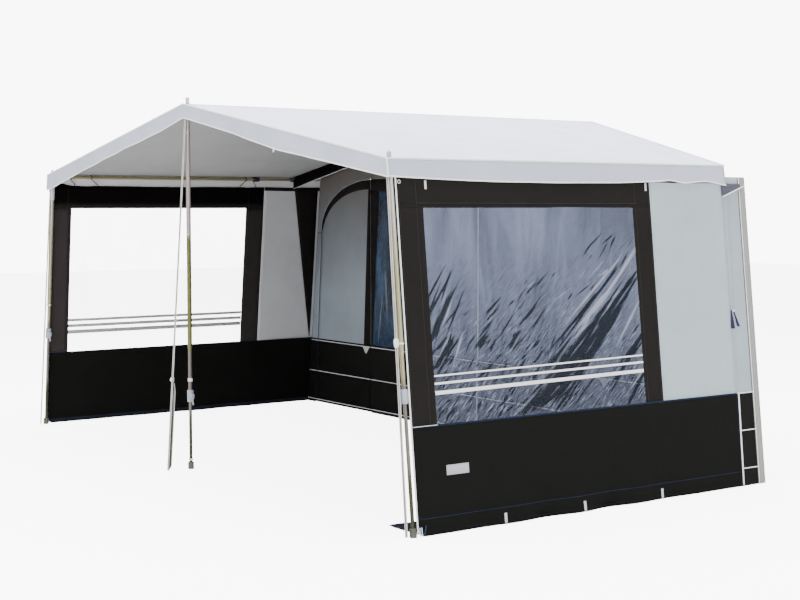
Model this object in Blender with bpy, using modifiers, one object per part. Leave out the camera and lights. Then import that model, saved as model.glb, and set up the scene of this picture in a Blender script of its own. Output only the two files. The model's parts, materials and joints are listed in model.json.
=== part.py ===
# A caravan awning: a gabled canopy on telescopic poles, with two windowed side walls, a rear
# wall with two arched doors, and webbing storm straps. Metres, +Z up, front towards -Y.
# The origin is on the ground, at the middle of the awning's length and width.

import math

import bmesh
import bpy
from mathutils import Matrix, Vector

# Main sizes
EAVE_WIDTH = 4.70
EAVE_HEIGHT = 2.00
RIDGE_HEIGHT = 2.42
WALL_DEPTH = 2.50
RIDGE_OVERHANG = 1.08
SPLAY = 0.22
SKIRT_HEIGHT = 0.577
STRAP_REACH = 0.17

# Gaps
SEAT_GAP = 0.0003
RUNNING_GAP = 0.0008
HEM_LIFT = 0.0006
OVERRUN = 0.010
WELD = 0.00001

# Cloth
CLOTH = 0.002
WINDOW_FILM = 0.001
VALANCE_DROP = 0.115
VALANCE_STANDOFF = 0.033
VALANCE_WAVE = 0.005
VALANCE_TOP_SEAT = 0.0020
ROOF_SAG = 0.020
ROOF_CORNER_PAST_WALL = 0.045
EYELET_CLEARANCE = 0.0015
SKIRT_WAVE = 0.012
REAR_SKIRT_WAVE = 0.009
WALL_FRONT = 0.018
WALL_REAR_PAST_DEPTH = 0.020

# Side windows
WINDOW_FRONT = 0.166
WINDOW_REAR = 1.735
WINDOW_BELOW_EAVE = 0.259
DARK_PANEL_REAR = 1.880
STRIP_WIDTH = 0.200
STRIP_BELOW_EAVE = 0.070

# Rear wall
DOOR_HINGE = 1.550
DOOR_FOOT = 2.440
DOOR_SHOULDER = 2.330
DOOR_SHOULDER_BELOW_EAVE = 0.470
DOOR_ARCH_HEIGHT = 0.450
DOOR_HEM_LIFT = 0.006
REAR_WINDOW_HALF_WIDTH = 1.420
REAR_WINDOW_BELOW_EAVE = 0.120

# Tubes: outer radii of the three sizes that slide in each other, and their wall
LARGE_TUBE = 0.0150
MIDDLE_TUBE = 0.0125
SMALL_TUBE = 0.0105
TUBE_WALL = 0.0012
RIDGE_TUBE = 0.0140
RIDGE_INNER_TUBE = 0.0118
TUBE_PLUG = 0.020

# Legs
CORNER_CLAMP_HEIGHT = 0.740
CENTRE_CLAMP_HEIGHT = 0.490
LARGE_TUBE_ABOVE_CLAMP = 0.230
CENTRE_LARGE_TUBE_ABOVE_CLAMP = 0.327
INSERTED_LENGTH = 0.350
TAPER_LENGTH = 0.012
TUBE_CHAMFER = 0.0015

# Spigot pins, and the flat lugs that stack on them
PIN_RADIUS = 0.004
PIN_ABOVE_ROOF = 0.042
PIN_BELOW_ROOF = 0.004
PIN_CHAMFER = 0.0015
LUG_RADIUS = 0.014
LUG_THICKNESS = 0.004
LUG_HOLE_CLEARANCE = 0.0006
LUG_SPACING = 0.0012
LUG_DROP = 0.010
NECK_WIDTH = 0.0235
TUBE_END_FROM_PIN = 0.045
NECK_IN_TUBE = 0.012
NECK_IN_LUG = 0.002

# Cam clamps
CLAMP_RADIUS = 0.0205
CLAMP_HEIGHT = 0.078
CLAMP_CHAMFER = 0.002
EAR_REACH = 0.018
EAR_WIDTH = 0.022
EAR_HEIGHT = 0.030
EAR_SINK = 0.004
EAR_BEVEL = 0.002
LEVER_THICKNESS = 0.008
LEVER_HEAD = 0.0070
LEVER_LENGTH = 0.058
LEVER_ARM = 0.0050
LEVER_FLARE = 0.008
LEVER_STRAIGHT_SHARE = 0.67
LEVER_PIVOT_OUT = 0.0095
LEVER_PIN_RADIUS = 0.0022
EAVE_CLAMP_DEPTH = 1.840
EAVE_CLAMP_LENGTH = 0.050
EAVE_CLAMP_WALL = 0.006

# Feet
FOOT_RADIUS = 0.020
FOOT_HEIGHT = 0.048
FOOT_SOLE = 0.012
FOOT_CHAMFER = 0.003

# Storm straps
WEB_WIDTH = 0.025
WEB_THICKNESS = 0.002
CENTRE_WEB_BELOW_RIDGE = 0.075
CORNER_WEB_BELOW_EAVE = 0.070
CORNER_STRAP_REACH = 0.058
WEB_LIFT = 0.004
BUCKLE_HEIGHT = 0.607
BUCKLE_LENGTH = 0.032
BUCKLE_WIDTH = 0.038
BUCKLE_THICKNESS = 0.008
BUCKLE_BEVEL = 0.0015

# Facets
TUBE_STEPS = 16
PIN_STEPS = 12
ARC_STEPS = 12
ROOF_CELLS = (8, 12)
SKIRT_CELLS = (28, 5)
VALANCE_CELLS = (24, 2)

# Waves of the hanging cloth, as counts along its length
SKIRT_WAVES = 5
VALANCE_WAVES = 6

# Worked out from the sizes above
HALF_WIDTH = EAVE_WIDTH / 2
WINDOW_TOP = EAVE_HEIGHT - WINDOW_BELOW_EAVE
STRIP_TOP = EAVE_HEIGHT - STRIP_BELOW_EAVE
DOOR_SHOULDER_HEIGHT = EAVE_HEIGHT - DOOR_SHOULDER_BELOW_EAVE
REAR_WINDOW_TOP = EAVE_HEIGHT - REAR_WINDOW_BELOW_EAVE
CENTRE_WEB_TOP = RIDGE_HEIGHT - CENTRE_WEB_BELOW_RIDGE
CORNER_WEB_TOP = EAVE_HEIGHT - CORNER_WEB_BELOW_EAVE
ROOF_RISE = RIDGE_HEIGHT - EAVE_HEIGHT
ROOF_SLOPE = math.atan2(ROOF_RISE, HALF_WIDTH)
SPLAY_ANGLE = math.atan2(SPLAY, EAVE_HEIGHT)
LEG_INSET = CLAMP_RADIUS + CLOTH / 2 + SEAT_GAP
RIDGE_END = WALL_DEPTH + RIDGE_OVERHANG
ROOF_LIP = VALANCE_STANDOFF + CLOTH / 2
REAR_LEG_DEPTH = WALL_DEPTH + CLOTH / 2 + SEAT_GAP + CLAMP_RADIUS
REAR_RAFTER_DEPTH = WALL_DEPTH + CLOTH / 2 + SEAT_GAP + LUG_RADIUS
WALL_END = WALL_DEPTH + WALL_REAR_PAST_DEPTH
FRONT_REACH = STRAP_REACH + WEB_THICKNESS / 2
MIDDLE_DEPTH = (RIDGE_END - FRONT_REACH) / 2

for old in list(bpy.data.objects):
    bpy.data.objects.remove(old, do_unlink=True)

awning = bpy.data.collections.new("caravan_awning")
helpers = bpy.data.collections.new("cutters")
bpy.context.scene.collection.children.link(awning)
bpy.context.scene.collection.children.link(helpers)


def finish(name, colour, roughness, metallic=0):
    """A plain material with one colour."""
    material = bpy.data.materials.new(name)
    material.use_nodes = True
    shader = material.node_tree.nodes["Principled BSDF"]
    shader.inputs["Base Color"].default_value = (*colour, 1)
    shader.inputs["Roughness"].default_value = roughness
    shader.inputs["Metallic"].default_value = metallic
    return material


FINISHES = {
    "roof_cloth": finish("roof_cloth", (0.74, 0.75, 0.80), 0.85),
    "valance_cloth": finish("valance_cloth", (0.60, 0.62, 0.68), 0.85),
    "grey_cloth": finish("grey_cloth", (0.50, 0.53, 0.56), 0.90),
    "dark_cloth": finish("dark_cloth", (0.024, 0.023, 0.022), 0.90),
    "black_cloth": finish("black_cloth", (0.013, 0.013, 0.012), 0.80),
    "window_film": finish("window_film", (0.45, 0.52, 0.62), 0.10),
    "steel": finish("steel", (0.42, 0.40, 0.32), 0.35, 1),
    "grey_plastic": finish("grey_plastic", (0.30, 0.31, 0.32), 0.50),
    "webbing": finish("webbing", (0.75, 0.75, 0.73), 0.80),
}


def empty(name, parent=None, location=(0, 0, 0), rotation=(0, 0, 0)):
    """A frame that the pieces are placed in."""
    frame = bpy.data.objects.new(name, None)
    awning.objects.link(frame)
    frame.parent = parent
    frame.location = location
    frame.rotation_euler = rotation
    return frame


ground = empty("awning_frame", location=(0, -MIDDLE_DEPTH, 0))
SIDES = (("left", -1), ("right", 1))
walls = {}
for wall_name, wall_side in SIDES:
    eave_corner = (wall_side * HALF_WIDTH, 0, EAVE_HEIGHT)
    lean = (0, -wall_side * SPLAY_ANGLE, 0)
    walls[wall_side] = empty(f"{wall_name}_wall_frame", ground, eave_corner, lean)


def placed(obj, parent, place, colour=None):
    """Puts an object into the awning, or among the helpers when it has no finish."""
    group = awning if colour else helpers
    group.objects.link(obj)
    obj.parent = parent
    obj.matrix_local = place
    if colour:
        obj.data.materials.clear()
        obj.data.materials.append(FINISHES[colour])
    else:
        obj.hide_render = True
        obj.display_type = "WIRE"
    return obj


def mesh_object(name, shape):
    """An object from a bmesh, shaded smooth but for its sharp edges."""
    mesh = bpy.data.meshes.new(name)
    shape.to_mesh(mesh)
    shape.free()
    mesh.shade_smooth()
    mesh.set_sharp_from_angle(angle=math.radians(35))
    return bpy.data.objects.new(name, mesh)


def at(x, y, z):
    return Matrix.Translation((x, y, z))


def aimed(start, end):
    """A frame at start whose Z runs to end and whose X stays level."""
    start, end = Vector(start), Vector(end)
    along = (end - start).normalized()
    level = Vector((0, 1, 0)).cross(along)
    if level.length < math.sin(math.radians(1)):
        level = Vector((1, 0, 0))
    level.normalize()
    turn = Matrix((level, along.cross(level), along)).transposed()
    return Matrix.Translation(start) @ turn.to_4x4()


def box(name, size, parent, place, colour=None, bevel=0):
    """A box centred on its place."""
    shape = bmesh.new()
    bmesh.ops.create_cube(shape, size=1, matrix=Matrix.Diagonal((*size, 1)))
    if bevel:
        bmesh.ops.bevel(shape, geom=shape.edges[:], offset=bevel, segments=1, affect="EDGES")
    return placed(mesh_object(name, shape), parent, place, colour)


def rod(name, radius, length, parent, place, colour=None, steps=TUBE_STEPS):
    """A solid round bar from its place along its Z."""
    shape = bmesh.new()
    bmesh.ops.create_cone(
        shape,
        cap_ends=True,
        segments=steps,
        radius1=radius,
        radius2=radius,
        depth=length,
        matrix=at(0, 0, length / 2),
    )
    return placed(mesh_object(name, shape), parent, place, colour)


def turned(name, profile, parent, place, colour=None, closed=False):
    """A shape turned round Z from (radius, height) points that run down its outer side."""
    mesh = bpy.data.meshes.new(name)
    edges = [(i, i + 1) for i in range(len(profile) - 1)]
    if closed:
        edges.append((len(profile) - 1, 0))
    mesh.from_pydata([(radius, 0, height) for radius, height in profile], edges, [])
    obj = placed(bpy.data.objects.new(name, mesh), parent, place, colour)
    screw = obj.modifiers.new("turn", "SCREW")
    screw.steps = TUBE_STEPS
    screw.render_steps = TUBE_STEPS
    screw.use_merge_vertices = True
    screw.merge_threshold = WELD
    screw.use_smooth_shade = True
    return obj


def outline(name, loops, thickness, parent, place, colour=None):
    """A flat piece from closed outlines in its own XY plane, centred on that plane."""
    curve = bpy.data.curves.new(name, "CURVE")
    curve.dimensions = "2D"
    curve.fill_mode = "BOTH"
    curve.extrude = thickness / 2
    for loop in loops:
        spline = curve.splines.new("POLY")
        spline.points.add(len(loop) - 1)
        for point, (x, y) in zip(spline.points, loop):
            point.co = (x, y, 0, 1)
        spline.use_cyclic_u = True
    return placed(bpy.data.objects.new(name, curve), parent, place, colour)


def cloth(name, cells, surface, thickness, parent, colour):
    """A cloth panel: a grid whose points follow surface(across, down) shares, made solid."""
    shape = bmesh.new()
    bmesh.ops.create_grid(shape, x_segments=cells[0], y_segments=cells[1], size=0.5)
    for vertex in shape.verts:
        vertex.co = surface(vertex.co.x + 0.5, vertex.co.y + 0.5)
    obj = placed(mesh_object(name, shape), parent, Matrix(), colour)
    solid = obj.modifiers.new("thickness", "SOLIDIFY")
    solid.thickness = thickness
    solid.offset = 0
    return obj


def combine(obj, operation, others):
    """Boolean modifiers that join or cut with each of the other objects."""
    for other in others:
        step = obj.modifiers.new(operation.lower(), "BOOLEAN")
        step.operation = operation
        step.object = other
        step.solver = "EXACT"
    return obj


def meshed(obj):
    """The object again as a welded mesh with its modifiers and its curve turned into faces."""
    bpy.context.view_layer.update()
    evaluated = obj.evaluated_get(bpy.context.evaluated_depsgraph_get())
    mesh = bpy.data.meshes.new_from_object(evaluated)
    shape = bmesh.new()
    shape.from_mesh(mesh)
    bmesh.ops.remove_doubles(shape, verts=shape.verts, dist=WELD)
    shape.to_mesh(mesh)
    shape.free()
    name, parent, place = obj.name, obj.parent, obj.matrix_local.copy()
    group = obj.users_collection[0]
    hidden = obj.hide_render
    bpy.data.objects.remove(obj)
    new = bpy.data.objects.new(name, mesh)
    group.objects.link(new)
    new.parent = parent
    new.matrix_local = place
    new.hide_render = hidden
    new.display_type = "WIRE" if hidden else "TEXTURED"
    return new


def roof_underside(x):
    return RIDGE_HEIGHT - abs(x) * ROOF_RISE / HALF_WIDTH


def under_roof(x, radius):
    """The height of a tube's middle line when the tube lies under the roof cloth."""
    return roof_underside(x) - (radius + SEAT_GAP) / math.cos(ROOF_SLOPE)


def wall_level(height):
    """A wall frame's own Z, on the wall's middle plane, at this height above the ground."""
    return (height - EAVE_HEIGHT) / math.cos(SPLAY_ANGLE)


def leg_level(height):
    """A wall frame's own Z, on a corner leg's axis, at this height above the ground."""
    return wall_level(height + LEG_INSET * math.sin(SPLAY_ANGLE))


def wall_edge(height, inset=0):
    """How far a side wall's inner face, less the inset, is from the middle at this height."""
    face = HALF_WIDTH + (EAVE_HEIGHT - height) * math.tan(SPLAY_ANGLE)
    return face - (CLOTH / 2 + inset) / math.cos(SPLAY_ANGLE)


def wall_matrix(side):
    """A wall frame's place in the awning's own frame."""
    return at(side * HALF_WIDTH, 0, EAVE_HEIGHT) @ Matrix.Rotation(-side * SPLAY_ANGLE, 4, "Y")


def in_wall(side, inward, depth, level):
    """A point of a wall frame in the awning's own frame."""
    return wall_matrix(side) @ Vector((-side * inward, depth, level))


SIDE_PLANE = Matrix.Rotation(math.pi / 2, 4, "Z") @ Matrix.Rotation(math.pi / 2, 4, "X")
REAR_PLANE = at(0, WALL_DEPTH, 0) @ Matrix.Rotation(math.pi / 2, 4, "X")
TO_REAR = Matrix.Rotation(-math.pi / 2, 4, "X")


def swell(share):
    """Zero and level at both ends, one in the middle."""
    return math.sin(math.pi * share) ** 2


def ripple(share, waves):
    return math.sin(2 * math.pi * waves * share) * swell(share)


# The lugs' and pins' levels. The peak pin stands upright, the corner pins lean with the walls.
PEAK_LUG = RIDGE_HEIGHT - LUG_DROP
LUG_STEP = LUG_THICKNESS + LUG_SPACING
CORNER_LUG = leg_level(roof_underside(HALF_WIDTH - LEG_INSET) - LUG_DROP)
PEAK_SHOULDER = PEAK_LUG - 2 * LUG_STEP - LUG_THICKNESS / 2 - LUG_SPACING / 2
CORNER_SHOULDER = CORNER_LUG - LUG_STEP - LUG_THICKNESS / 2 - LUG_SPACING / 2
REAR_PEAK_LUG = under_roof(0, RIDGE_TUBE) - RIDGE_TUBE - LUG_SPACING - LUG_THICKNESS
EAVE_POLE_SEAT = MIDDLE_TUBE + SEAT_GAP + EAVE_CLAMP_WALL


# Roof: two cloth slopes that sag a little between the poles and end in a V behind the wall
def roof_slope(name, side):
    eave = HALF_WIDTH + CLOTH + CLOTH / 2 + SEAT_GAP
    eave_end = WALL_DEPTH + ROOF_CORNER_PAST_WALL

    ridge = SEAT_GAP / 2 + CLOTH / 2 * math.sin(ROOF_SLOPE)

    def surface(across, along):
        x = ridge + across * (eave - ridge)
        rear = RIDGE_END + across * (eave_end - RIDGE_END)
        depth = -ROOF_LIP + along * (rear + ROOF_LIP)
        middle = roof_underside(x) + CLOTH / 2 / math.cos(ROOF_SLOPE)
        bay = min(max(depth / REAR_RAFTER_DEPTH, 0), 1)
        return side * x, depth, middle - ROOF_SAG * swell(across) * swell(bay)

    obj = cloth(f"{name}_roof", ROOF_CELLS, surface, CLOTH, ground, "roof_cloth")
    hole = PIN_RADIUS + EYELET_CLEARANCE
    long = PIN_ABOVE_ROOF + LUG_DROP
    peak = rod(f"{name}_peak_eyelet", hole, long, ground, at(0, 0, PEAK_LUG), steps=PIN_STEPS)
    spot = at(-side * LEG_INSET, 0, CORNER_LUG)
    corner = rod(f"{name}_corner_eyelet", hole, long, walls[side], spot, steps=PIN_STEPS)
    return combine(obj, "DIFFERENCE", (peak, corner))


# Valances: strips that hang from the roof's edge, over the poles
def side_valance(name, side):
    front = -VALANCE_STANDOFF + CLOTH / 2 + SEAT_GAP
    rear = WALL_DEPTH + ROOF_CORNER_PAST_WALL
    top = wall_level(EAVE_HEIGHT - VALANCE_TOP_SEAT)
    drop = wall_level(EAVE_HEIGHT - VALANCE_DROP)
    outward = CLOTH + SEAT_GAP

    def surface(along, down):
        wave = VALANCE_WAVE * down**2 * (ripple(along, VALANCE_WAVES) + swell(along))
        return side * (outward + wave), front + along * (rear - front), top + down * (drop - top)

    return cloth(f"{name}_valance", VALANCE_CELLS, surface, CLOTH, walls[side], "valance_cloth")


def front_valance(name, side):
    def surface(along, down):
        height = EAVE_HEIGHT - VALANCE_DROP * down
        edge = HALF_WIDTH + CLOTH + CLOTH / 2 + (EAVE_HEIGHT - height) * math.tan(SPLAY_ANGLE)
        x = SEAT_GAP / 2 + along * (edge - SEAT_GAP / 2)
        top = roof_underside(x) - SEAT_GAP - CLOTH / 2 * math.tan(ROOF_SLOPE)
        wave = VALANCE_WAVE * down**2 * (ripple(along, VALANCE_WAVES) + swell(along))
        return side * x, -VALANCE_STANDOFF - wave, top - VALANCE_DROP * down

    return cloth(f"front_{name}_valance", VALANCE_CELLS, surface, CLOTH, ground, "valance_cloth")


# Side walls: a dark panel round the window, a grey panel, a black skirt and a rear strip
def side_panel(name, points, thickness, side, colour):
    loop = [(depth, wall_level(height)) for depth, height in points]
    return outline(name, [loop], thickness, walls[side], SIDE_PLANE, colour)


def rectangle(low, high, bottom, top):
    return [(low, bottom), (high, bottom), (high, top), (low, top)]


def side_wall(name, side):
    wall_top = EAVE_HEIGHT - SEAT_GAP - CLOTH * math.tan(ROOF_SLOPE)
    seam = SKIRT_HEIGHT + SEAT_GAP
    dark = [
        (WALL_FRONT, seam),
        (WINDOW_FRONT, seam),
        (WINDOW_FRONT, WINDOW_TOP),
        (WINDOW_REAR, WINDOW_TOP),
        (WINDOW_REAR, seam),
        (DARK_PANEL_REAR, seam),
        (DARK_PANEL_REAR, wall_top),
        (WALL_FRONT, wall_top),
    ]
    side_panel(f"{name}_window_panel", dark, CLOTH, side, "dark_cloth")
    film = rectangle(
        WINDOW_FRONT + SEAT_GAP, WINDOW_REAR - SEAT_GAP, seam, WINDOW_TOP - SEAT_GAP
    )
    side_panel(f"{name}_window", film, WINDOW_FILM, side, "window_film")
    grey = rectangle(DARK_PANEL_REAR + SEAT_GAP, WALL_END, seam, wall_top)
    side_panel(f"{name}_rear_panel", grey, CLOTH, side, "grey_cloth")
    strip = rectangle(WALL_END + SEAT_GAP, WALL_END + STRIP_WIDTH, HEM_LIFT, STRIP_TOP)
    side_panel(f"{name}_rear_strip", strip, CLOTH, side, "grey_cloth")

    def surface(along, down):
        depth = WALL_FRONT + along * (WALL_END - WALL_FRONT)
        height = SKIRT_HEIGHT + down * (HEM_LIFT - SKIRT_HEIGHT)
        wave = SKIRT_WAVE * down**2 * ripple(along, SKIRT_WAVES)
        level = wall_level(height) - wave * math.sin(SPLAY_ANGLE)
        return side * wave * math.cos(SPLAY_ANGLE), depth, level

    cloth(f"{name}_skirt", SKIRT_CELLS, surface, CLOTH, walls[side], "black_cloth")


# Rear wall: grey cloth up to the roof, with an arched door at each side of a wide window
def door_outline(side, margin=0):
    """The door's outline, grown by the margin: its hinge edge, its zip edge and the arch.
    With a margin it runs on below the hem, to cut the wall right through."""
    inner = DOOR_HINGE - margin
    points = [(inner, DOOR_HEM_LIFT), (DOOR_FOOT + margin, DOOR_HEM_LIFT)]
    if margin:
        points = [(inner, -OVERRUN), (DOOR_FOOT + margin, -OVERRUN), points[1]]
    reach = DOOR_SHOULDER - DOOR_HINGE + margin
    rise = DOOR_ARCH_HEIGHT + margin
    for i in range(ARC_STEPS + 1):
        turn = math.pi / 2 * i / ARC_STEPS
        height = DOOR_SHOULDER_HEIGHT + rise * math.sin(turn)
        points.append((DOOR_HINGE + reach * math.cos(turn), height))
    if margin:
        points.append((inner, DOOR_SHOULDER_HEIGHT + rise))
    return [(side * x, z) for x, z in points]


def rear_wall():
    seam = SKIRT_HEIGHT + SEAT_GAP
    top_gap = SEAT_GAP + CLOTH / 2 * math.tan(ROOF_SLOPE)
    half = [
        (0, RIDGE_HEIGHT - top_gap),
        (wall_edge(EAVE_HEIGHT, SEAT_GAP), EAVE_HEIGHT - top_gap),
        (wall_edge(0, SEAT_GAP), HEM_LIFT),
    ]
    edge = half + [(-x, z) for x, z in reversed(half[1:])]
    obj = outline("rear_wall", [edge], CLOTH, ground, REAR_PLANE, "grey_cloth")
    obj = meshed(obj)
    cutters = []
    for name, side in SIDES:
        opening = door_outline(side, SEAT_GAP)
        cutters.append(outline(f"{name}_door_cut", [opening], CLOTH + OVERRUN, ground, REAR_PLANE))
        lug = in_wall(side, LEG_INSET, 0, CORNER_LUG - LUG_STEP)
        spot = at(lug.x, WALL_DEPTH - OVERRUN, lug.z) @ TO_REAR
        notch = MIDDLE_TUBE + RUNNING_GAP
        cutters.append(rod(f"{name}_pole_notch", notch, 2 * OVERRUN, ground, spot))
    window = rectangle(
        -REAR_WINDOW_HALF_WIDTH, REAR_WINDOW_HALF_WIDTH, SKIRT_HEIGHT - OVERRUN, REAR_WINDOW_TOP
    )
    cutters.append(outline("window_cut", [window], CLOTH + OVERRUN, ground, REAR_PLANE))
    below = rectangle(
        -DOOR_HINGE + SEAT_GAP, DOOR_HINGE - SEAT_GAP, -OVERRUN, SKIRT_HEIGHT + SEAT_GAP
    )
    cutters.append(outline("skirt_cut", [below], CLOTH + OVERRUN, ground, REAR_PLANE))
    spot = at(0, WALL_DEPTH - OVERRUN, under_roof(0, RIDGE_TUBE)) @ TO_REAR
    cutters.append(rod("ridge_notch", RIDGE_TUBE + RUNNING_GAP, 2 * OVERRUN, ground, spot))
    cutters = [meshed(cutter) if cutter.type == "CURVE" else cutter for cutter in cutters]
    combine(obj, "DIFFERENCE", cutters)

    film = rectangle(
        SEAT_GAP - REAR_WINDOW_HALF_WIDTH,
        REAR_WINDOW_HALF_WIDTH - SEAT_GAP,
        seam,
        REAR_WINDOW_TOP - SEAT_GAP,
    )
    outline("rear_window", [film], WINDOW_FILM, ground, REAR_PLANE, "window_film")

    def surface(along, down):
        half_width = DOOR_HINGE - 2 * SEAT_GAP
        wave = REAR_SKIRT_WAVE * down**2 * ripple(along, SKIRT_WAVES)
        height = SKIRT_HEIGHT + down * (HEM_LIFT - SKIRT_HEIGHT)
        return (2 * along - 1) * half_width, WALL_DEPTH + wave, height

    cloth("rear_skirt", SKIRT_CELLS, surface, CLOTH, ground, "black_cloth")


def door(name, side):
    """The door's own origin is on its hinge line, on the cloth's front face."""
    points = [(x - side * DOOR_HINGE, z) for x, z in door_outline(side)]
    hinge = at(side * DOOR_HINGE, WALL_DEPTH - CLOTH / 2, 0)
    frame = empty(f"{name}_door_hinge", ground, hinge.translation)
    place = at(0, CLOTH / 2, 0) @ Matrix.Rotation(math.pi / 2, 4, "X")
    outline(f"{name}_door", [points], CLOTH, frame, place, "grey_cloth")


# Legs: a large tube stepping down to a middle one, a cam clamp, and a small tube that slides
def upper_tube(name, parent, place, shoulder, pin_top, step, end):
    """Levels are along the leg, measured from its place."""
    bore = SMALL_TUBE + RUNNING_GAP
    large_bore = LARGE_TUBE - TUBE_WALL
    profile = [
        (0, pin_top),
        (PIN_RADIUS - PIN_CHAMFER, pin_top),
        (PIN_RADIUS, pin_top - 2 * PIN_CHAMFER),
        (PIN_RADIUS, shoulder),
        (LARGE_TUBE - TUBE_CHAMFER, shoulder),
        (LARGE_TUBE, shoulder - TUBE_CHAMFER),
        (LARGE_TUBE, step),
        (MIDDLE_TUBE, step - TAPER_LENGTH),
        (MIDDLE_TUBE, end),
        (bore, end),
        (bore, step - TAPER_LENGTH),
        (large_bore, step),
        (large_bore, shoulder - TUBE_PLUG),
        (0, shoulder - TUBE_PLUG),
    ]
    return turned(name, profile, parent, place, "steel")


def lower_tube(name, parent, place, top, end):
    profile = [
        (SMALL_TUBE, top),
        (SMALL_TUBE, end),
        (SMALL_TUBE - TUBE_WALL, end),
        (SMALL_TUBE - TUBE_WALL, top),
    ]
    return turned(name, profile, parent, place, "steel", closed=True)


def foot(name, parent, place, end):
    """A plug that the lower tube stands in. It is cut level with the ground."""
    bore = SMALL_TUBE + SEAT_GAP
    top = end + FOOT_HEIGHT - FOOT_SOLE
    bottom = end - FOOT_SOLE - FOOT_CHAMFER
    profile = [
        (0, end - SEAT_GAP),
        (bore, end - SEAT_GAP),
        (bore, top),
        (FOOT_RADIUS - FOOT_CHAMFER, top),
        (FOOT_RADIUS, top - FOOT_CHAMFER),
        (FOOT_RADIUS, bottom),
        (0, bottom),
    ]
    return turned(name, profile, parent, place, "grey_plastic")


def clamp_shape():
    """The clamp: a stepped sleeve round the end of the middle tube, with two ears."""
    half = CLAMP_HEIGHT / 2
    grip = MIDDLE_TUBE + SEAT_GAP
    bore = SMALL_TUBE + RUNNING_GAP
    profile = [
        (CLAMP_RADIUS - CLAMP_CHAMFER, half),
        (CLAMP_RADIUS, half - CLAMP_CHAMFER),
        (CLAMP_RADIUS, CLAMP_CHAMFER - half),
        (CLAMP_RADIUS - CLAMP_CHAMFER, -half),
        (bore, -half),
        (bore, 0),
        (grip, 0),
        (grip, half),
    ]
    sleeve = turned("clamp_shape", profile, None, Matrix(), closed=True)
    reach = EAR_SINK + EAR_REACH
    middle = CLAMP_RADIUS - EAR_SINK + reach / 2
    ears = box("ears", (reach, EAR_WIDTH, EAR_HEIGHT), None, at(middle, 0, 0), bevel=EAR_BEVEL)
    combine(sleeve, "UNION", [ears])
    slot_width = LEVER_THICKNESS + 2 * SEAT_GAP
    slot_size = (EAR_REACH + OVERRUN, slot_width, EAR_HEIGHT + OVERRUN)
    slot = box("slot", slot_size, None, at(CLAMP_RADIUS + SEAT_GAP + slot_size[0] / 2, 0, 0))
    across = Matrix.Rotation(math.pi / 2, 4, "X")
    spot = at(CLAMP_RADIUS + LEVER_PIVOT_OUT, EAR_WIDTH, 0) @ across
    hole = rod(
        "pin_hole", LEVER_PIN_RADIUS + SEAT_GAP, 2 * EAR_WIDTH, None, spot, steps=PIN_STEPS
    )
    combine(sleeve, "DIFFERENCE", [slot, hole])
    return meshed(sleeve)


def lever_shape():
    """The cam lever: a round head on its pin, and an arm that lies along the clamp."""
    points = []
    for i in range(ARC_STEPS + 1):
        turn = math.pi * i / ARC_STEPS
        points.append((LEVER_HEAD * math.cos(turn), LEVER_HEAD * math.sin(turn)))
    bend = -LEVER_LENGTH * LEVER_STRAIGHT_SHARE
    points += [
        (-LEVER_HEAD, -LEVER_HEAD),
        (LEVER_HEAD - LEVER_ARM, -2 * LEVER_HEAD),
        (LEVER_HEAD - LEVER_ARM, bend),
        (LEVER_HEAD - LEVER_ARM + LEVER_FLARE, -LEVER_LENGTH),
        (LEVER_HEAD + LEVER_FLARE, LEVER_ARM / 2 - LEVER_LENGTH),
        (LEVER_HEAD, bend + LEVER_ARM / 2),
    ]
    upright = Matrix.Rotation(math.pi / 2, 4, "X")
    lever = meshed(outline("lever_shape", [points], LEVER_THICKNESS, None, upright))
    spot = at(0, EAR_WIDTH / 2, 0) @ Matrix.Rotation(math.pi / 2, 4, "X")
    pin = rod("lever_pin", LEVER_PIN_RADIUS, EAR_WIDTH, None, spot, steps=PIN_STEPS)
    combine(lever, "UNION", [pin])
    return meshed(lever)


CLAMP = clamp_shape()
LEVER = lever_shape()


def copy_of(shape, name, parent, place, colour):
    obj = bpy.data.objects.new(name, shape.data.copy())
    obj.data.transform(shape.matrix_basis)
    obj.data.shade_smooth()
    obj.data.set_sharp_from_angle(angle=math.radians(35))
    return placed(obj, parent, place, colour)


def leg(name, parent, x, depth, levels, inward):
    """A leg in a frame whose Z runs up along it. Levels are in that frame."""
    clamp_at = levels["clamp"]
    place = at(x, depth, clamp_at)
    upper_tube(
        f"{name}_upper_pole",
        parent,
        place,
        levels["shoulder"] - clamp_at,
        levels["pin_top"] - clamp_at,
        levels["step"],
        SEAT_GAP,
    )
    sole = levels["ground"] - clamp_at
    lower_tube(f"{name}_lower_pole", parent, place, INSERTED_LENGTH, sole + FOOT_SOLE)
    shoe = foot(f"{name}_foot", parent, place, sole + FOOT_SOLE)
    cut = at(0, depth, -FOOT_HEIGHT / 2)
    size = (EAVE_WIDTH + 2 * SPLAY + FOOT_HEIGHT, 4 * FOOT_RADIUS, FOOT_HEIGHT)
    combine(shoe, "DIFFERENCE", [box(f"{name}_ground_cut", size, ground, cut)])
    turn = Matrix.Rotation(0 if inward > 0 else math.pi, 4, "Z")
    copy_of(CLAMP, f"{name}_clamp", parent, place @ turn, "grey_plastic")
    pivot = place @ turn @ at(CLAMP_RADIUS + LEVER_PIVOT_OUT, 0, 0)
    copy_of(LEVER, f"{name}_clamp_lever", parent, pivot, "grey_plastic")


def corner_leg(name, side, depth, pin_above):
    levels = {
        "shoulder": CORNER_SHOULDER,
        "pin_top": leg_level(roof_underside(HALF_WIDTH - LEG_INSET)) + pin_above,
        "step": LARGE_TUBE_ABOVE_CLAMP,
        "clamp": leg_level(CORNER_CLAMP_HEIGHT),
        "ground": leg_level(0),
    }
    leg(name, walls[side], -side * LEG_INSET, depth, levels, -side)


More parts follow.
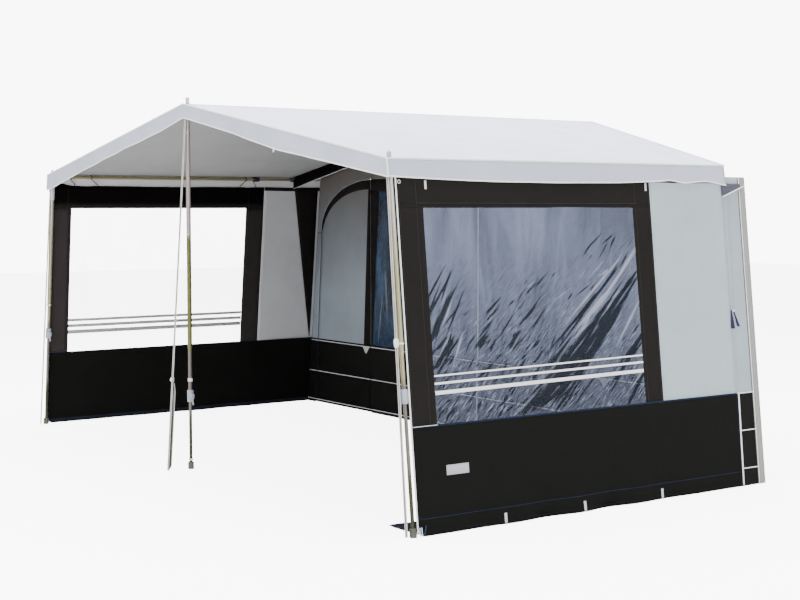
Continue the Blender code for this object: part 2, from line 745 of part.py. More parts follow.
def centre_leg():
    levels = {
        "shoulder": PEAK_SHOULDER,
        "pin_top": RIDGE_HEIGHT + PIN_ABOVE_ROOF,
        "step": CENTRE_LARGE_TUBE_ABOVE_CLAMP,
        "clamp": CENTRE_CLAMP_HEIGHT,
        "ground": 0,
    }
    leg("front_centre", ground, 0, 0, levels, 1)


# Roof poles: a tube, flattened at its ends into lugs that drop over the spigot pins
def lug_end(pole, name, parent, frame, spot, inner):
    """Joins a lug to a pole, with the neck between them, and returns the cutter of its hole.
    The spot is in the parent's frame, and inner, where the neck starts, in the awning's."""
    place = at(*spot)
    low = place @ at(0, 0, -LUG_THICKNESS / 2)
    disc = rod(f"{name}_lug", LUG_RADIUS, LUG_THICKNESS, parent, low)
    centre = frame @ Vector(spot)
    upright = frame.to_3x3() @ Vector((0, 0, 1))
    outward = Vector(inner) - centre
    outward -= upright * outward.dot(upright)
    rim = centre + outward.normalized() * (LUG_RADIUS - NECK_IN_LUG)
    length = (rim - Vector(inner)).length
    neck_place = aimed(inner, rim)
    if abs(outward.y) > abs(outward.x):
        neck_place = neck_place @ Matrix.Rotation(math.pi / 2, 4, "Z")
    size = (LUG_THICKNESS, NECK_WIDTH, length)
    neck = box(f"{name}_neck", size, ground, neck_place @ at(0, 0, length / 2))
    combine(pole, "UNION", (disc, neck))
    radius = PIN_RADIUS + LUG_HOLE_CLEARANCE
    start = place @ at(0, 0, -OVERRUN)
    return rod(f"{name}_hole", radius, 2 * OVERRUN, parent, start, steps=PIN_STEPS)


def tube(name, radius, length, parent, place):
    """An open steel tube from its place along its Z."""
    bore = radius - TUBE_WALL
    profile = [(radius, length), (radius, 0), (bore, 0), (bore, length)]
    return turned(name, profile, parent, place, "steel", closed=True)


def rafter(name, side, depth, pin_depth, peak_lug):
    """A rafter from the peak to a corner pin, under the roof cloth."""
    corner = in_wall(side, LEG_INSET, pin_depth, CORNER_LUG)
    high_x = side * TUBE_END_FROM_PIN
    low_x = corner.x - side * TUBE_END_FROM_PIN
    high = Vector((high_x, depth, under_roof(high_x, MIDDLE_TUBE)))
    low = Vector((low_x, depth, under_roof(low_x, MIDDLE_TUBE)))
    length = (low - high).length
    pole = tube(name, MIDDLE_TUBE, length, ground, aimed(high, low))
    step = (low - high).normalized() * NECK_IN_TUBE
    corner_spot = (-side * LEG_INSET, pin_depth, CORNER_LUG)
    holes = (
        lug_end(pole, f"{name}_low", walls[side], wall_matrix(side), corner_spot, low - step),
        lug_end(pole, f"{name}_high", ground, Matrix(), (0, depth, peak_lug), high + step),
    )
    return combine(pole, "DIFFERENCE", holes)


def eave_pole(name, side):
    """A two-size tube along the eave, from the front corner pin to the rear one."""
    level = CORNER_LUG - LUG_STEP
    x = in_wall(side, LEG_INSET, 0, level).x
    height = under_roof(x, EAVE_POLE_SEAT)
    start = TUBE_END_FROM_PIN
    end = REAR_LEG_DEPTH - TUBE_END_FROM_PIN
    joint = EAVE_CLAMP_DEPTH - start
    bore = SMALL_TUBE - TUBE_WALL
    profile = [
        (SMALL_TUBE, end - start),
        (SMALL_TUBE, joint + TAPER_LENGTH / 2),
        (MIDDLE_TUBE, joint - TAPER_LENGTH / 2),
        (MIDDLE_TUBE, 0),
        (bore, 0),
        (bore, end - start),
    ]
    place = at(x, start, height) @ TO_REAR
    pole = turned(f"{name}_eave_pole", profile, ground, place, "steel", closed=True)
    ends = (("front", 0, start + NECK_IN_TUBE), ("rear", REAR_LEG_DEPTH, end - NECK_IN_TUBE))
    holes = []
    for which, pin_depth, inner in ends:
        spot = (-side * LEG_INSET, pin_depth, level)
        title = f"{name}_eave_{which}"
        inner = (x, inner, height)
        holes.append(lug_end(pole, title, walls[side], wall_matrix(side), spot, inner))
    combine(pole, "DIFFERENCE", holes)

    bore = MIDDLE_TUBE + SEAT_GAP
    outer = bore + EAVE_CLAMP_WALL
    half = EAVE_CLAMP_LENGTH / 2
    ring = [
        (outer - CLAMP_CHAMFER, half),
        (outer, half - CLAMP_CHAMFER),
        (outer, CLAMP_CHAMFER - half),
        (outer - CLAMP_CHAMFER, -half),
        (bore, -half),
        (bore, half),
    ]
    place = at(x, EAVE_CLAMP_DEPTH, height) @ TO_REAR
    turned(f"{name}_eave_clamp", ring, ground, place, "grey_plastic", closed=True)


def ridge_pole():
    """Two tubes, one in the other. A stub pin below the outer one carries the rear rafters."""
    height = under_roof(0, RIDGE_TUBE)
    start = TUBE_END_FROM_PIN
    joint = WALL_DEPTH + TUBE_END_FROM_PIN
    bore = RIDGE_INNER_TUBE + SEAT_GAP
    profile = [
        (0, TUBE_PLUG),
        (bore, TUBE_PLUG),
        (bore, joint - start),
        (RIDGE_TUBE, joint - start),
        (RIDGE_TUBE, 0),
        (0, 0),
    ]
    place = at(0, start, height) @ TO_REAR
    pole = turned("ridge_pole_front", profile, ground, place, "steel")
    inner = (0, start + NECK_IN_TUBE, height)
    spot = (0, 0, PEAK_LUG - 2 * LUG_STEP)
    hole = lug_end(pole, "ridge", ground, Matrix(), spot, inner)
    foot_of_pin = REAR_PEAK_LUG - LUG_STEP - LUG_THICKNESS
    length = height - bore - TUBE_WALL / 2 - foot_of_pin
    place = at(0, REAR_RAFTER_DEPTH, foot_of_pin)
    pin = rod("rear_stub_pin", PIN_RADIUS, length, ground, place, steps=PIN_STEPS)
    combine(pole, "UNION", [pin])
    combine(pole, "DIFFERENCE", [hole])
    inserted = joint - INSERTED_LENGTH
    place = at(0, inserted, height) @ TO_REAR
    tube("ridge_pole_rear", RIDGE_INNER_TUBE, RIDGE_END - inserted, ground, place)


# Storm straps: flat webbing from the front pins to the ground
def web(name, parent, top, end, colour="webbing"):
    place = aimed(end, top)
    length = (Vector(top) - Vector(end)).length
    return box(
        name, (WEB_WIDTH, WEB_THICKNESS, length), parent, place @ at(0, 0, length / 2), colour
    )


def storm_straps():
    seat = -LARGE_TUBE - SEAT_GAP - WEB_THICKNESS / 2
    for name, side in SIDES:
        top = (-side * LEG_INSET, seat, leg_level(CORNER_WEB_TOP))
        end = (-side * LEG_INSET, -CORNER_STRAP_REACH, leg_level(WEB_LIFT + FOOT_CHAMFER))
        web(f"front_{name}_strap", walls[side], top, end)
    top = Vector((0, seat, CENTRE_WEB_TOP))
    end = Vector((0, -STRAP_REACH, WEB_LIFT))
    web("front_centre_strap", ground, top, end)
    share = (BUCKLE_HEIGHT - end.z) / (top.z - end.z)
    spot = end.lerp(top, share)
    place = Matrix.Translation(spot) @ aimed(end, top).to_3x3().to_4x4()
    size = (BUCKLE_WIDTH, BUCKLE_THICKNESS, BUCKLE_LENGTH)
    buckle = box("strap_buckle", size, ground, place, "grey_plastic", bevel=BUCKLE_BEVEL)
    slot_size = (
        WEB_WIDTH + 2 * SEAT_GAP,
        WEB_THICKNESS + 2 * SEAT_GAP,
        BUCKLE_LENGTH + OVERRUN,
    )
    combine(buckle, "DIFFERENCE", [box("web_slot", slot_size, ground, place)])


for name, side in SIDES:
    roof_slope(name, side)
    side_valance(name, side)
    front_valance(name, side)
    side_wall(name, side)
    door(name, side)
    corner_leg(f"front_{name}", side, 0, PIN_ABOVE_ROOF)
    corner_leg(f"rear_{name}", side, REAR_LEG_DEPTH, -PIN_BELOW_ROOF)
    eave_pole(name, side)
    stack = 0 if side < 0 else LUG_STEP
    rafter(f"front_{name}_rafter", side, 0, 0, PEAK_LUG - stack)
    rafter(
        f"rear_{name}_rafter", side, REAR_RAFTER_DEPTH, REAR_LEG_DEPTH, REAR_PEAK_LUG - stack
    )
rear_wall()
centre_leg()
ridge_pole()
storm_straps()
for shape in (CLAMP, LEVER):
    bpy.data.objects.remove(shape)
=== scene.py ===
import json
import math
from functools import partial

import bpy
import numpy as np
from mathutils import Matrix, Vector


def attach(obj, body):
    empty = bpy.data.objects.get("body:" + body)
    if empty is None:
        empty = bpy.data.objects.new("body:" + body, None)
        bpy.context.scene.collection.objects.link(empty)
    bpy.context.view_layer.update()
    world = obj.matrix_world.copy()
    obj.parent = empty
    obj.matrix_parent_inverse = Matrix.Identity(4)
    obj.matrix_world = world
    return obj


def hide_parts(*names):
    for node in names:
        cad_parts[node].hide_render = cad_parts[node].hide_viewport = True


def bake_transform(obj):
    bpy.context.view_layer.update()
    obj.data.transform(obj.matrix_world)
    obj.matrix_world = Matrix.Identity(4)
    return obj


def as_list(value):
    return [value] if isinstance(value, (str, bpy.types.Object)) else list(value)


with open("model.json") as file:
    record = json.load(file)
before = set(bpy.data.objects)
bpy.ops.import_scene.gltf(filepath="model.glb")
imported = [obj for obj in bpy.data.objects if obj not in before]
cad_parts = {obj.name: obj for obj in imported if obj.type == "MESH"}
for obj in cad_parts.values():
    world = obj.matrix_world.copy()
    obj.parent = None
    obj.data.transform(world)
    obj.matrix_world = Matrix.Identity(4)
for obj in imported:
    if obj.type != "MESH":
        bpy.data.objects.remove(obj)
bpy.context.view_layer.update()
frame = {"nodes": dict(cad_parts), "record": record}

# The awning's pitched sizes, in metres. Depth runs back from the front poles.
site = dict(
    eaveHalf=2.35,
    eaveHeight=2.0,
    ridgeHeight=2.42,
    wallDepth=2.5,
    wallFront=0.018,
    wallEnd=2.52,
    stripEnd=2.72,
    stripTop=1.93,
    ridgeEnd=3.58,
    leanAtGround=0.22,
    skirtTop=0.577,
    hem=0.0012,
    middleDepth=1.7045,
    legInset=0.0218,
    eavePole=(2.3293, 1.9843),
    cloth=0.0012,
    film=0.0007,
    seamGap=0.0004,
)
leanTan = site["leanAtGround"] / site["eaveHeight"]
leanSin = leanTan / math.hypot(1, leanTan)
leanCos = 1 / math.hypot(1, leanTan)
roofTan = (site["ridgeHeight"] - site["eaveHeight"]) / site["eaveHalf"]
roofCos = 1 / math.hypot(1, roofTan)
seamTop = site["skirtTop"] + site["seamGap"]
frontward, backward, upward = (0, -1, 0), (0, 1, 0), (0, 0, 1)
sides = (("left", -1), ("right", 1))
ringTurn = 2 * math.pi * np.arange(25) / 24


def wallPoint(side, depth, height, out=0.0):
    # a side wall's plane leans outwards going down: x grows with the drop below the eave,
    # and out steps away from the plane along its outward normal
    x = side * (site["eaveHalf"] + (site["eaveHeight"] - height) * leanTan + out * leanCos)
    y = depth - site["middleDepth"]
    z = height + out * leanSin
    return np.stack(np.broadcast_arrays(x, y, z), -1).astype(float)


def outOf(side):
    # a side wall's outward normal
    return (side * leanCos, 0, leanSin)


def roofLine(x):
    # each slope drops straight from the ridge
    return site["ridgeHeight"] - np.abs(x) * roofTan


def swell(share):
    # nothing at both ends, all of it in the middle
    return np.sin(math.pi * np.clip(share, 0, 1)) ** 2


def ripple(share, waves):
    # sine waves that fade out at both ends
    return np.sin(2 * math.pi * waves * share) * swell(share)


def crumple(u, v, seed, longest, count=14):
    # a sum of sine waves of falling length, each in its own direction and phase. It mostly
    # stays between -1 and 1
    dice = np.random.default_rng(seed)
    total, weight = np.zeros(np.broadcast(u, v).shape), 0
    for i in range(count):
        turn, phase = dice.uniform(0, math.pi), dice.uniform(0, 2 * math.pi)
        along = u * math.cos(turn) + v * math.sin(turn)
        total += 0.86**i * np.sin(2 * math.pi * along / (longest * 0.82**i) + phase)
        weight += 0.86**i
    return total / weight * 2.2


def strokes(u, v, seed, families):
    # creases as long soft strokes: each is a bell across its width and along its length,
    # raised or sunk. A family lies between two depths and two heights, and its upper edge
    # may slope, so that creases gather in a corner
    dice = np.random.default_rng(seed)
    total = np.zeros(np.broadcast(u, v).shape)
    for family in families:
        count = family["count"]
        share = dice.uniform(0, 1, count)
        low, high = family["heights"]
        edge = high + family.get("slope", 0) * (share - 0.5)
        centreU = family["depths"][0] + share * (family["depths"][1] - family["depths"][0])
        centreV = low + dice.uniform(0, 1, count) * np.maximum(edge - low, 0)
        turn = np.radians(dice.normal(family["angle"], family["spread"], count))
        turn = turn + np.radians(family.get("fan", 0)) * (0.5 - share)
        length = dice.uniform(*family["length"], count)
        width = dice.uniform(*family["width"], count)
        height = dice.uniform(0.5, 1, count) * np.where(dice.uniform(0, 1, count) < family["sunk"], -1, 1)
        for i in range(count):
            du, dv = u - centreU[i], v - centreV[i]
            along = (du * math.cos(turn[i]) + dv * math.sin(turn[i])) / length[i]
            across = (dv * math.cos(turn[i]) - du * math.sin(turn[i])) / width[i]
            total += family["strength"] * height[i] * np.exp(-(along**2) - across**2)
    return total


def stops(step, *marks):
    # a row of values that hits every mark, with about step between them
    rows = [np.array([marks[0]], float)]
    for low, high in zip(marks, marks[1:]):
        cells = max(1, round(abs(high - low) / step))
        rows.append(np.linspace(low, high, cells + 1)[1:])
    return np.concatenate(rows)


def sheetMesh(name, u, v, place, thickness, crease=None):
    # an open grid of place(u, v) over both rows of values. The UV map is u and v in metres,
    # and Solidify gives both faces
    gridU, gridV = np.meshgrid(u, v, indexing="ij")
    points = place(gridU, gridV).reshape(-1, 3)
    index = np.arange(len(points)).reshape(gridU.shape)
    quads = np.stack([index[:-1, :-1], index[1:, :-1], index[1:, 1:], index[:-1, 1:]], -1).reshape(-1, 4)
    mesh = bpy.data.meshes.new(name)
    mesh.from_pydata(points, [], quads)
    flat = np.stack([gridU.ravel(), gridV.ravel()], -1)
    mesh.uv_layers.new(name="cut").data.foreach_set("uv", flat[quads.ravel()].ravel())
    if crease is not None:
        values = crease(gridU, gridV).ravel().astype(np.float32)
        mesh.attributes.new("crease", "FLOAT", "POINT").data.foreach_set("value", values)
    mesh.polygons.foreach_set("use_smooth", np.ones(len(quads), bool))
    piece = bpy.data.objects.new(name, mesh)
    bpy.context.scene.collection.objects.link(piece)
    solid = piece.modifiers.new("thickness", "SOLIDIFY")
    solid.thickness = thickness
    solid.offset = 0
    return piece


def ruled(name, first, second, steps, across, thickness=0.001):
    # a sheet between two curves of a share from 0 to 1: straight lines from one to the other
    def place(u, v):
        return first(u) * (1 - v)[..., None] + second(u) * v[..., None]

    return sheetMesh(name, steps, stops(across, 0, 1), place, thickness)


def sweep(name, path, profile, up):
    # a flat outline carried along a path: at each point the outline's second axis is the
    # part of up that is square to the path, and the ends are capped
    path, profile = np.asarray(path, float), np.asarray(profile, float)
    along = np.gradient(path, axis=0)
    along /= np.linalg.norm(along, axis=1, keepdims=True)
    up = np.broadcast_to(np.asarray(up, float), path.shape)
    rise = up - along * (up * along).sum(1, keepdims=True)
    rise /= np.linalg.norm(rise, axis=1, keepdims=True)
    across = np.cross(along, rise)
    rings = path[:, None] + profile[None, :, :1] * across[:, None] + profile[None, :, 1:] * rise[:, None]
    count, edges = len(path), len(profile)
    index = np.arange(count * edges).reshape(count, edges)
    after = np.roll(index, -1, axis=1)
    quads = np.stack([index[:-1], after[:-1], after[1:], index[1:]], -1).reshape(-1, 4)
    faces = quads.tolist() + [index[0][::-1].tolist(), index[-1].tolist()]
    mesh = bpy.data.meshes.new(name)
    mesh.from_pydata(rings.reshape(-1, 3), [], faces)
    steps = np.linalg.norm(np.diff(path, axis=0), axis=1)
    lengthAt = np.repeat(np.concatenate([[0], np.cumsum(steps)]), edges)
    widthAt = np.tile(profile[:, 0], count)
    loops = np.zeros(len(mesh.loops), int)
    mesh.loops.foreach_get("vertex_index", loops)
    flat = np.stack([lengthAt[loops], widthAt[loops]], -1)
    mesh.uv_layers.new(name="cut").data.foreach_set("uv", flat.ravel())
    return smoothed(name, mesh)


def smoothed(name, mesh, angle=40):
    mesh.polygons.foreach_set("use_smooth", np.ones(len(mesh.polygons), bool))
    mesh.set_sharp_from_angle(angle=math.radians(angle))
    piece = bpy.data.objects.new(name, mesh)
    bpy.context.scene.collection.objects.link(piece)
    return piece


def turned(name, profile, centre, axis, steps=20):
    # (radius, distance) points revolved round an axis through the centre, ends closed
    frameOf = np.array(Vector(axis).normalized().to_track_quat("Z", "Y").to_matrix())
    profile = np.asarray(profile, float)
    turn = 2 * math.pi * np.arange(steps) / steps
    rings = np.stack([profile[:, :1] * np.cos(turn), profile[:, :1] * np.sin(turn), profile[:, 1:] + 0 * turn], -1)
    points = rings.reshape(-1, 3) @ frameOf.T + np.array(centre, float)
    index = np.arange(len(points)).reshape(len(profile), steps)
    after = np.roll(index, -1, axis=1)
    quads = np.stack([index[:-1], after[:-1], after[1:], index[1:]], -1).reshape(-1, 4).tolist()
    mesh = bpy.data.meshes.new(name)
    mesh.from_pydata(points, [], quads + [index[0][::-1].tolist(), index[-1].tolist()])
    mesh.uv_layers.new(name="cut")
    return smoothed(name, mesh)


def roundProfile(radius, steps=8):
    turn = 2 * math.pi * np.arange(steps) / steps
    return np.stack([np.cos(turn), np.sin(turn)], -1) * radius


def flatProfile(width, thickness):
    # a band with rounded edges
    w, t = width / 2, thickness / 2
    return [(w, -t / 2), (w, t / 2), (w - t, t), (t - w, t), (-w, t / 2), (-w, -t / 2), (t - w, -t), (w - t, -t)]


def band(path, width, thickness, outward, name="band"):
    return sweep(name, path, flatProfile(width, thickness), outward)


def cord(path, radius, up, name="cord"):
    return sweep(name, path, roundProfile(radius), up)


def joined(name, parts):
    # several small pieces of one finish made one object
    points, faces, flat, start = [], [], [], 0
    for part in parts:
        mesh = part.data
        points += [tuple(v.co) for v in mesh.vertices]
        faces += [[start + i for i in p.vertices] for p in mesh.polygons]
        flat += [tuple(d.uv) for d in mesh.uv_layers[0].data]
        start += len(mesh.vertices)
        bpy.data.objects.remove(part)
    mesh = bpy.data.meshes.new(name)
    mesh.from_pydata(points, [], faces)
    mesh.uv_layers.new(name="cut").data.foreach_set("uv", np.array(flat).ravel())
    return smoothed(name, mesh)


def ride(piece, finish, slot, body="awning", nodes=(), back=None):
    # back is the finish of the side that the mesh's own faces turn away from
    piece.data.materials.clear()
    piece.data.materials.append(finish)
    if back:
        piece.data.materials.append(back)
        piece.modifiers["thickness"].material_offset = 1
    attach(piece, body)
    if nodes:
        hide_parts(*nodes)
    return piece


def faces(side, near, far):
    # the two sides' rows run opposite ways, so the finishes of a sheet's faces change places
    return (near, far) if side > 0 else (far, near)


def trim(name, parts, finish, slot, body="awning"):
    return ride(joined(name, parts), finish, slot, body)


def hang(piece, finish, slot, size, restsOn, nodes=(), held="hung", body="awning", area=None, withPieces=(), back=None):
    # a cloth piece: its finish, its body, the solid it stands for, and the size it was cut to, which is not used.
    # area is worked out from the cut's own measures, where the cut isn't a rectangle; it is not used
    ride(piece, finish, slot, body, nodes, back)
    list(withPieces)
    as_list(restsOn)
    return piece


stretch = partial(hang, held="stretched")


# Shared effects. Each is one node group that several finishes use with their own values
def newGroup(name, inputs, outputs):
    tree = bpy.data.node_groups.new(name, "ShaderNodeTree")
    for title, kind, value in inputs:
        socket = tree.interface.new_socket(name=title, in_out="INPUT", socket_type=kind)
        if value is not None:
            socket.default_value = value
    for title, kind in outputs:
        tree.interface.new_socket(name=title, in_out="OUTPUT", socket_type=kind)
    return tree, tree.nodes.new("NodeGroupInput"), tree.nodes.new("NodeGroupOutput")


def work(tree, kind, *values):
    # one math node; a value is a number or another node's output
    node = tree.nodes.new("ShaderNodeMath")
    node.operation = kind
    for socket, value in zip(node.inputs, values):
        if isinstance(value, (int, float)):
            socket.default_value = value
        else:
            tree.links.new(value, socket)
    return node.outputs[0]


def axesOf(tree, vector):
    node = tree.nodes.new("ShaderNodeSeparateXYZ")
    tree.links.new(vector, node.inputs[0])
    return node.outputs


def noiseOf(tree, vector, scale, detail, distortion=0.0):
    node = tree.nodes.new("ShaderNodeTexNoise")
    node.inputs["Scale"].default_value = scale
    node.inputs["Detail"].default_value = detail
    node.inputs["Distortion"].default_value = distortion
    tree.links.new(vector, node.inputs["Vector"])
    return node.outputs["Fac"]


def mapped(tree, vector, turn=0.0, scale=(1, 1, 1)):
    # turned first and then stretched, so that the stretch follows the turned axes
    turning, stretching = tree.nodes.new("ShaderNodeMapping"), tree.nodes.new("ShaderNodeMapping")
    turning.inputs["Rotation"].default_value = (0, 0, math.radians(turn))
    stretching.inputs["Scale"].default_value = scale
    tree.links.new(vector, turning.inputs["Vector"])
    tree.links.new(turning.outputs[0], stretching.inputs["Vector"])
    return stretching.outputs[0]


def spread(tree, value, low, high, toLow=0.0, toHigh=1.0):
    node = tree.nodes.new("ShaderNodeMapRange")
    for title, number in (("From Min", low), ("From Max", high), ("To Min", toLow), ("To Max", toHigh)):
        node.inputs[title].default_value = number
    tree.links.new(value, node.inputs["Value"])
    return node.outputs[0]


def makeWeave():
    # threads over and under each other: the product of two sine waves along the cut's axes
    tree, given, out = newGroup(
        "wovenThreads",
        [("Cut", "NodeSocketVector", None), ("Place", "NodeSocketVector", None), ("Threads", "NodeSocketFloat", 500.0)],
        [("Height", "NodeSocketFloat"), ("Mottle", "NodeSocketFloat"), ("Soil", "NodeSocketFloat")],
    )
    axes = axesOf(tree, given.outputs["Cut"])
    waves = []
    for axis in "XY":
        turn = work(tree, "MULTIPLY", axes[axis], given.outputs["Threads"])
        waves.append(work(tree, "SINE", work(tree, "MULTIPLY", turn, math.pi)))
    tree.links.new(work(tree, "MULTIPLY", *waves), out.inputs["Height"])
    tree.links.new(noiseOf(tree, given.outputs["Place"], 2.2, 5), out.inputs["Mottle"])
    tree.links.new(noiseOf(tree, given.outputs["Place"], 7.0, 8), out.inputs["Soil"])
    return tree


def makeScuffs():
    # drawn lines along the tube, and dull patches where hands and clamps have rubbed
    tree, given, out = newGroup(
        "scuffs",
        [("Place", "NodeSocketVector", None)],
        [("Lines", "NodeSocketFloat"), ("Patches", "NodeSocketFloat")],
    )
    stretched = mapped(tree, given.outputs["Place"], 0, (9, 9, 0.7))
    tree.links.new(noiseOf(tree, stretched, 60, 6), out.inputs["Lines"])
    tree.links.new(noiseOf(tree, given.outputs["Place"], 11, 5), out.inputs["Patches"])
    return tree


weave = makeWeave()
scuffs = makeScuffs()


def newFinish(name, colour, roughness, metallic=0.0, specular=0.5):
    # the material, its tree and shader, and the coordinates that a pattern can follow
    material = bpy.data.materials.new(name)
    material.use_nodes = True
    tree = material.node_tree
    shader = tree.nodes["Principled BSDF"]
    shader.inputs["Base Color"].default_value = (*colour, 1)
    shader.inputs["Roughness"].default_value = roughness
    shader.inputs["Metallic"].default_value = metallic
    shader.inputs["Specular IOR Level"].default_value = specular
    return material, tree, shader, tree.nodes.new("ShaderNodeTexCoord").outputs


def use(tree, group, place, cut=None, threads=None):
    # a shared effect in this finish: its place, and for cloth the flat cut and the threads
    node = tree.nodes.new("ShaderNodeGroup")
    node.node_tree = group
    tree.links.new(place, node.inputs["Place"])
    if threads:
        tree.links.new(cut, node.inputs["Cut"])
        node.inputs["Threads"].default_value = threads
    return node.outputs


def ramp(tree, source, low, high, start=0.3, end=0.7):
    node = tree.nodes.new("ShaderNodeValToRGB")
    node.color_ramp.elements[0].position = start
    node.color_ramp.elements[1].position = end
    node.color_ramp.elements[0].color = (*low, 1)
    node.color_ramp.elements[1].color = (*high, 1)
    tree.links.new(source, node.inputs[0])
    return node.outputs["Color"]


def mixColour(tree, mask, first, second, kind="MIX"):
    node = tree.nodes.new("ShaderNodeMix")
    node.data_type = "RGBA"
    node.blend_type = kind
    for socket, value in ((node.inputs[0], mask), (node.inputs[6], first), (node.inputs[7], second)):
        if isinstance(value, tuple):
            socket.default_value = (*value, 1)
        elif isinstance(value, float):
            socket.default_value = value
        else:
            tree.links.new(value, socket)
    return node.outputs[2]


def bump(tree, shader, height, distance, strength=0.5):
    node = tree.nodes.new("ShaderNodeBump")
    node.inputs["Distance"].default_value = distance
    node.inputs["Strength"].default_value = strength
    tree.links.new(height, node.inputs["Height"])
    tree.links.new(node.outputs[0], shader.inputs["Normal"])


def roughen(tree, shader, source, swing, low):
    # the roughness rises from its low value with the source
    tree.links.new(work(tree, "MULTIPLY_ADD", source, swing, low), shader.inputs["Roughness"])


def tint(colour, share):
    return tuple(min(1, c * share) for c in colour)


def clothFinish(name, colour, roughness, threads, below=(), fade=None, soil=0.9, specular=0.12):
    # woven cloth. below lists (height, colour) of cloth sewn on under a height, and fade is (low, high, colour): the
    # painted shade the cloth darkens to between two heights
    material, tree, shader, place = newFinish(name, colour, roughness, specular=specular)
    woven = use(tree, weave, place["Object"], place["UV"], threads)
    height = axesOf(tree, place["Object"])["Z"]
    seen = ramp(tree, woven["Mottle"], tint(colour, 0.95), tint(colour, 1.04))
    # painted shade: between the fade's two heights the colour darkens
    if fade:
        low, high, paintedShade = fade
        seen = mixColour(tree, spread(tree, height, low, high), seen, paintedShade)
    for top, sewnOn in below:
        seen = mixColour(tree, work(tree, "LESS_THAN", height, top), seen, sewnOn)
    worn = ramp(tree, woven["Soil"], (soil,) * 3, (1, 1, 1), 0.25, 0.6)
    tree.links.new(mixColour(tree, 0.6, seen, worn, "MULTIPLY"), shader.inputs["Base Color"])
    roughen(tree, shader, woven["Mottle"], 0.12, roughness - 0.06)
    bump(tree, shader, work(tree, "MULTIPLY_ADD", woven["Soil"], 0.5, woven["Height"]), 0.0004)
    return material


def webFinish(name, colour, stripe, halfStripe):
    # webbing: slanting ribs that meet in the middle, and a darker stripe along it
    material, tree, shader, place = newFinish(name, colour, 0.75, specular=0.15)
    axes = axesOf(tree, place["UV"])
    fromMiddle = work(tree, "ABSOLUTE", axes["Y"])
    slant = work(tree, "ADD", axes["X"], fromMiddle)
    ribs = work(tree, "SINE", work(tree, "MULTIPLY", slant, 2 * math.pi / 0.0035))
    seen = ramp(tree, noiseOf(tree, place["Object"], 9, 6), tint(colour, 0.72), colour, 0.3, 0.62)
    seen = mixColour(tree, work(tree, "LESS_THAN", fromMiddle, halfStripe), seen, stripe)
    dimmed = tree.nodes.new("ShaderNodeVectorMath")
    dimmed.operation = "SCALE"
    tree.links.new(seen, dimmed.inputs[0])
    tree.links.new(spread(tree, ribs, -1, 1, 0.86, 1.0), dimmed.inputs["Scale"])
    tree.links.new(dimmed.outputs[0], shader.inputs["Base Color"])
    bump(tree, shader, ribs, 0.0004)
    return material


def stitchFinish(name, colour, between, pitch, share=0.35):
    # a thread that shows and dips under by turns along the seam
    material, tree, shader, place = newFinish(name, colour, 0.6, specular=0.15)
    along = axesOf(tree, place["UV"])["X"]
    run = work(tree, "SINE", work(tree, "MULTIPLY", along, 2 * math.pi / pitch))
    under = spread(tree, run, -share - 0.3, -share)
    thread = ramp(tree, noiseOf(tree, place["Object"], 14, 4), tint(colour, 0.8), tint(colour, 1.15))
    tree.links.new(mixColour(tree, under, between, thread), shader.inputs["Base Color"])
    bump(tree, shader, run, 0.0006, 0.7)
    return material


def filmFinish(name, look):
    # clear sheet: cloudy where it folds, with fine ripples that follow the long creases. Light and shade are painted
    # into its colour: painted highlights on raised creases and ripple crests, painted shade in sunk creases and ripple
    # hollows for the dark seen through them, and painted shade towards its foot. The crease attribute holds where the
    # creases are
    material, tree, shader, place = newFinish(name, look["cloud"], look["roughness"], specular=look["specular"])
    crease = tree.nodes.new("ShaderNodeAttribute")
    crease.attribute_name = "crease"
    fold, cut = crease.outputs["Fac"], place["UV"]
    cloud, dark, patchy = look["cloud"], look["dark"], look["patchy"]
    clouds = noiseOf(tree, mapped(tree, cut, 0, (4.5, 0.9, 1)), 1.6, 5, 0.4)
    ripples = noiseOf(tree, mapped(tree, cut, -look["ripple"], (3.2, 20, 1)), 5.0, 4)
    seen = ramp(tree, clouds, tint(cloud, 1 - patchy), tint(cloud, 1 + patchy), 0.35, 0.65)
    high = spread(tree, axesOf(tree, cut)["Y"], look["fadeLow"], look["fadeHigh"])
    # painted shade: the colour darkens towards the film's foot
    seen = mixColour(tree, high, tint(cloud, look["shadedFootShare"]), seen)
    lively = spread(tree, high, 0, 1, 1.0, look["calm"])
    # painted highlights on the ripples' crests and painted shade in their hollows, strongest low down
    for low, top, colour in ((0.55, 0.66, tint(cloud, 1.5)), (0.43, 0.36, dark)):
        seen = mixColour(tree, work(tree, "MULTIPLY", lively, spread(tree, ripples, low, top)), seen, colour)
    # painted highlights along raised creases and painted shade in sunk creases
    for low, top, colour in ((0.22, 0.85, look["light"]), (-0.18, -0.50, dark)):
        seen = mixColour(tree, spread(tree, fold, low, top), seen, colour)
    tree.links.new(seen, shader.inputs["Base Color"])
    strength = work(tree, "ABSOLUTE", fold)
    veil = spread(tree, clouds, 0.35, 0.65, look["clear"], look["veiled"])
    alpha = work(tree, "MULTIPLY_ADD", strength, look["foldVeil"], veil)
    tree.links.new(work(tree, "MINIMUM", alpha, 0.97), shader.inputs["Alpha"])
    bump(tree, shader, ripples, 0.004, 0.6)
    return material


def tubeFinish(name, look):
    # drawn tube: lengthwise lines and rubbed patches, and tones that change with height as painted reflections, darker
    # towards the ground
    material, tree, shader, place = newFinish(name, look["tones"][-1], look["roughness"], look["metallic"])
    marks = use(tree, scuffs, place["Object"])
    tones = [ramp(tree, marks["Lines"], tint(tone, 0.80), tint(tone, 1.14)) for tone in look["tones"]]
    height = work(tree, "MULTIPLY_ADD", marks["Patches"], 0.25, axesOf(tree, place["Object"])["Z"])
    # painted reflections: each tone takes over between its pair of heights, the edges blurred by the rubbed patches
    seen = tones[0]
    for tone, (low, high) in zip(tones[1:], look["changes"]):
        seen = mixColour(tree, spread(tree, height, low, high), seen, tone)
    tree.links.new(seen, shader.inputs["Base Color"])
    roughen(tree, shader, marks["Patches"], 0.3, look["roughness"] - 0.15)
    bump(tree, shader, marks["Lines"], 0.0002, 0.4)
    return material


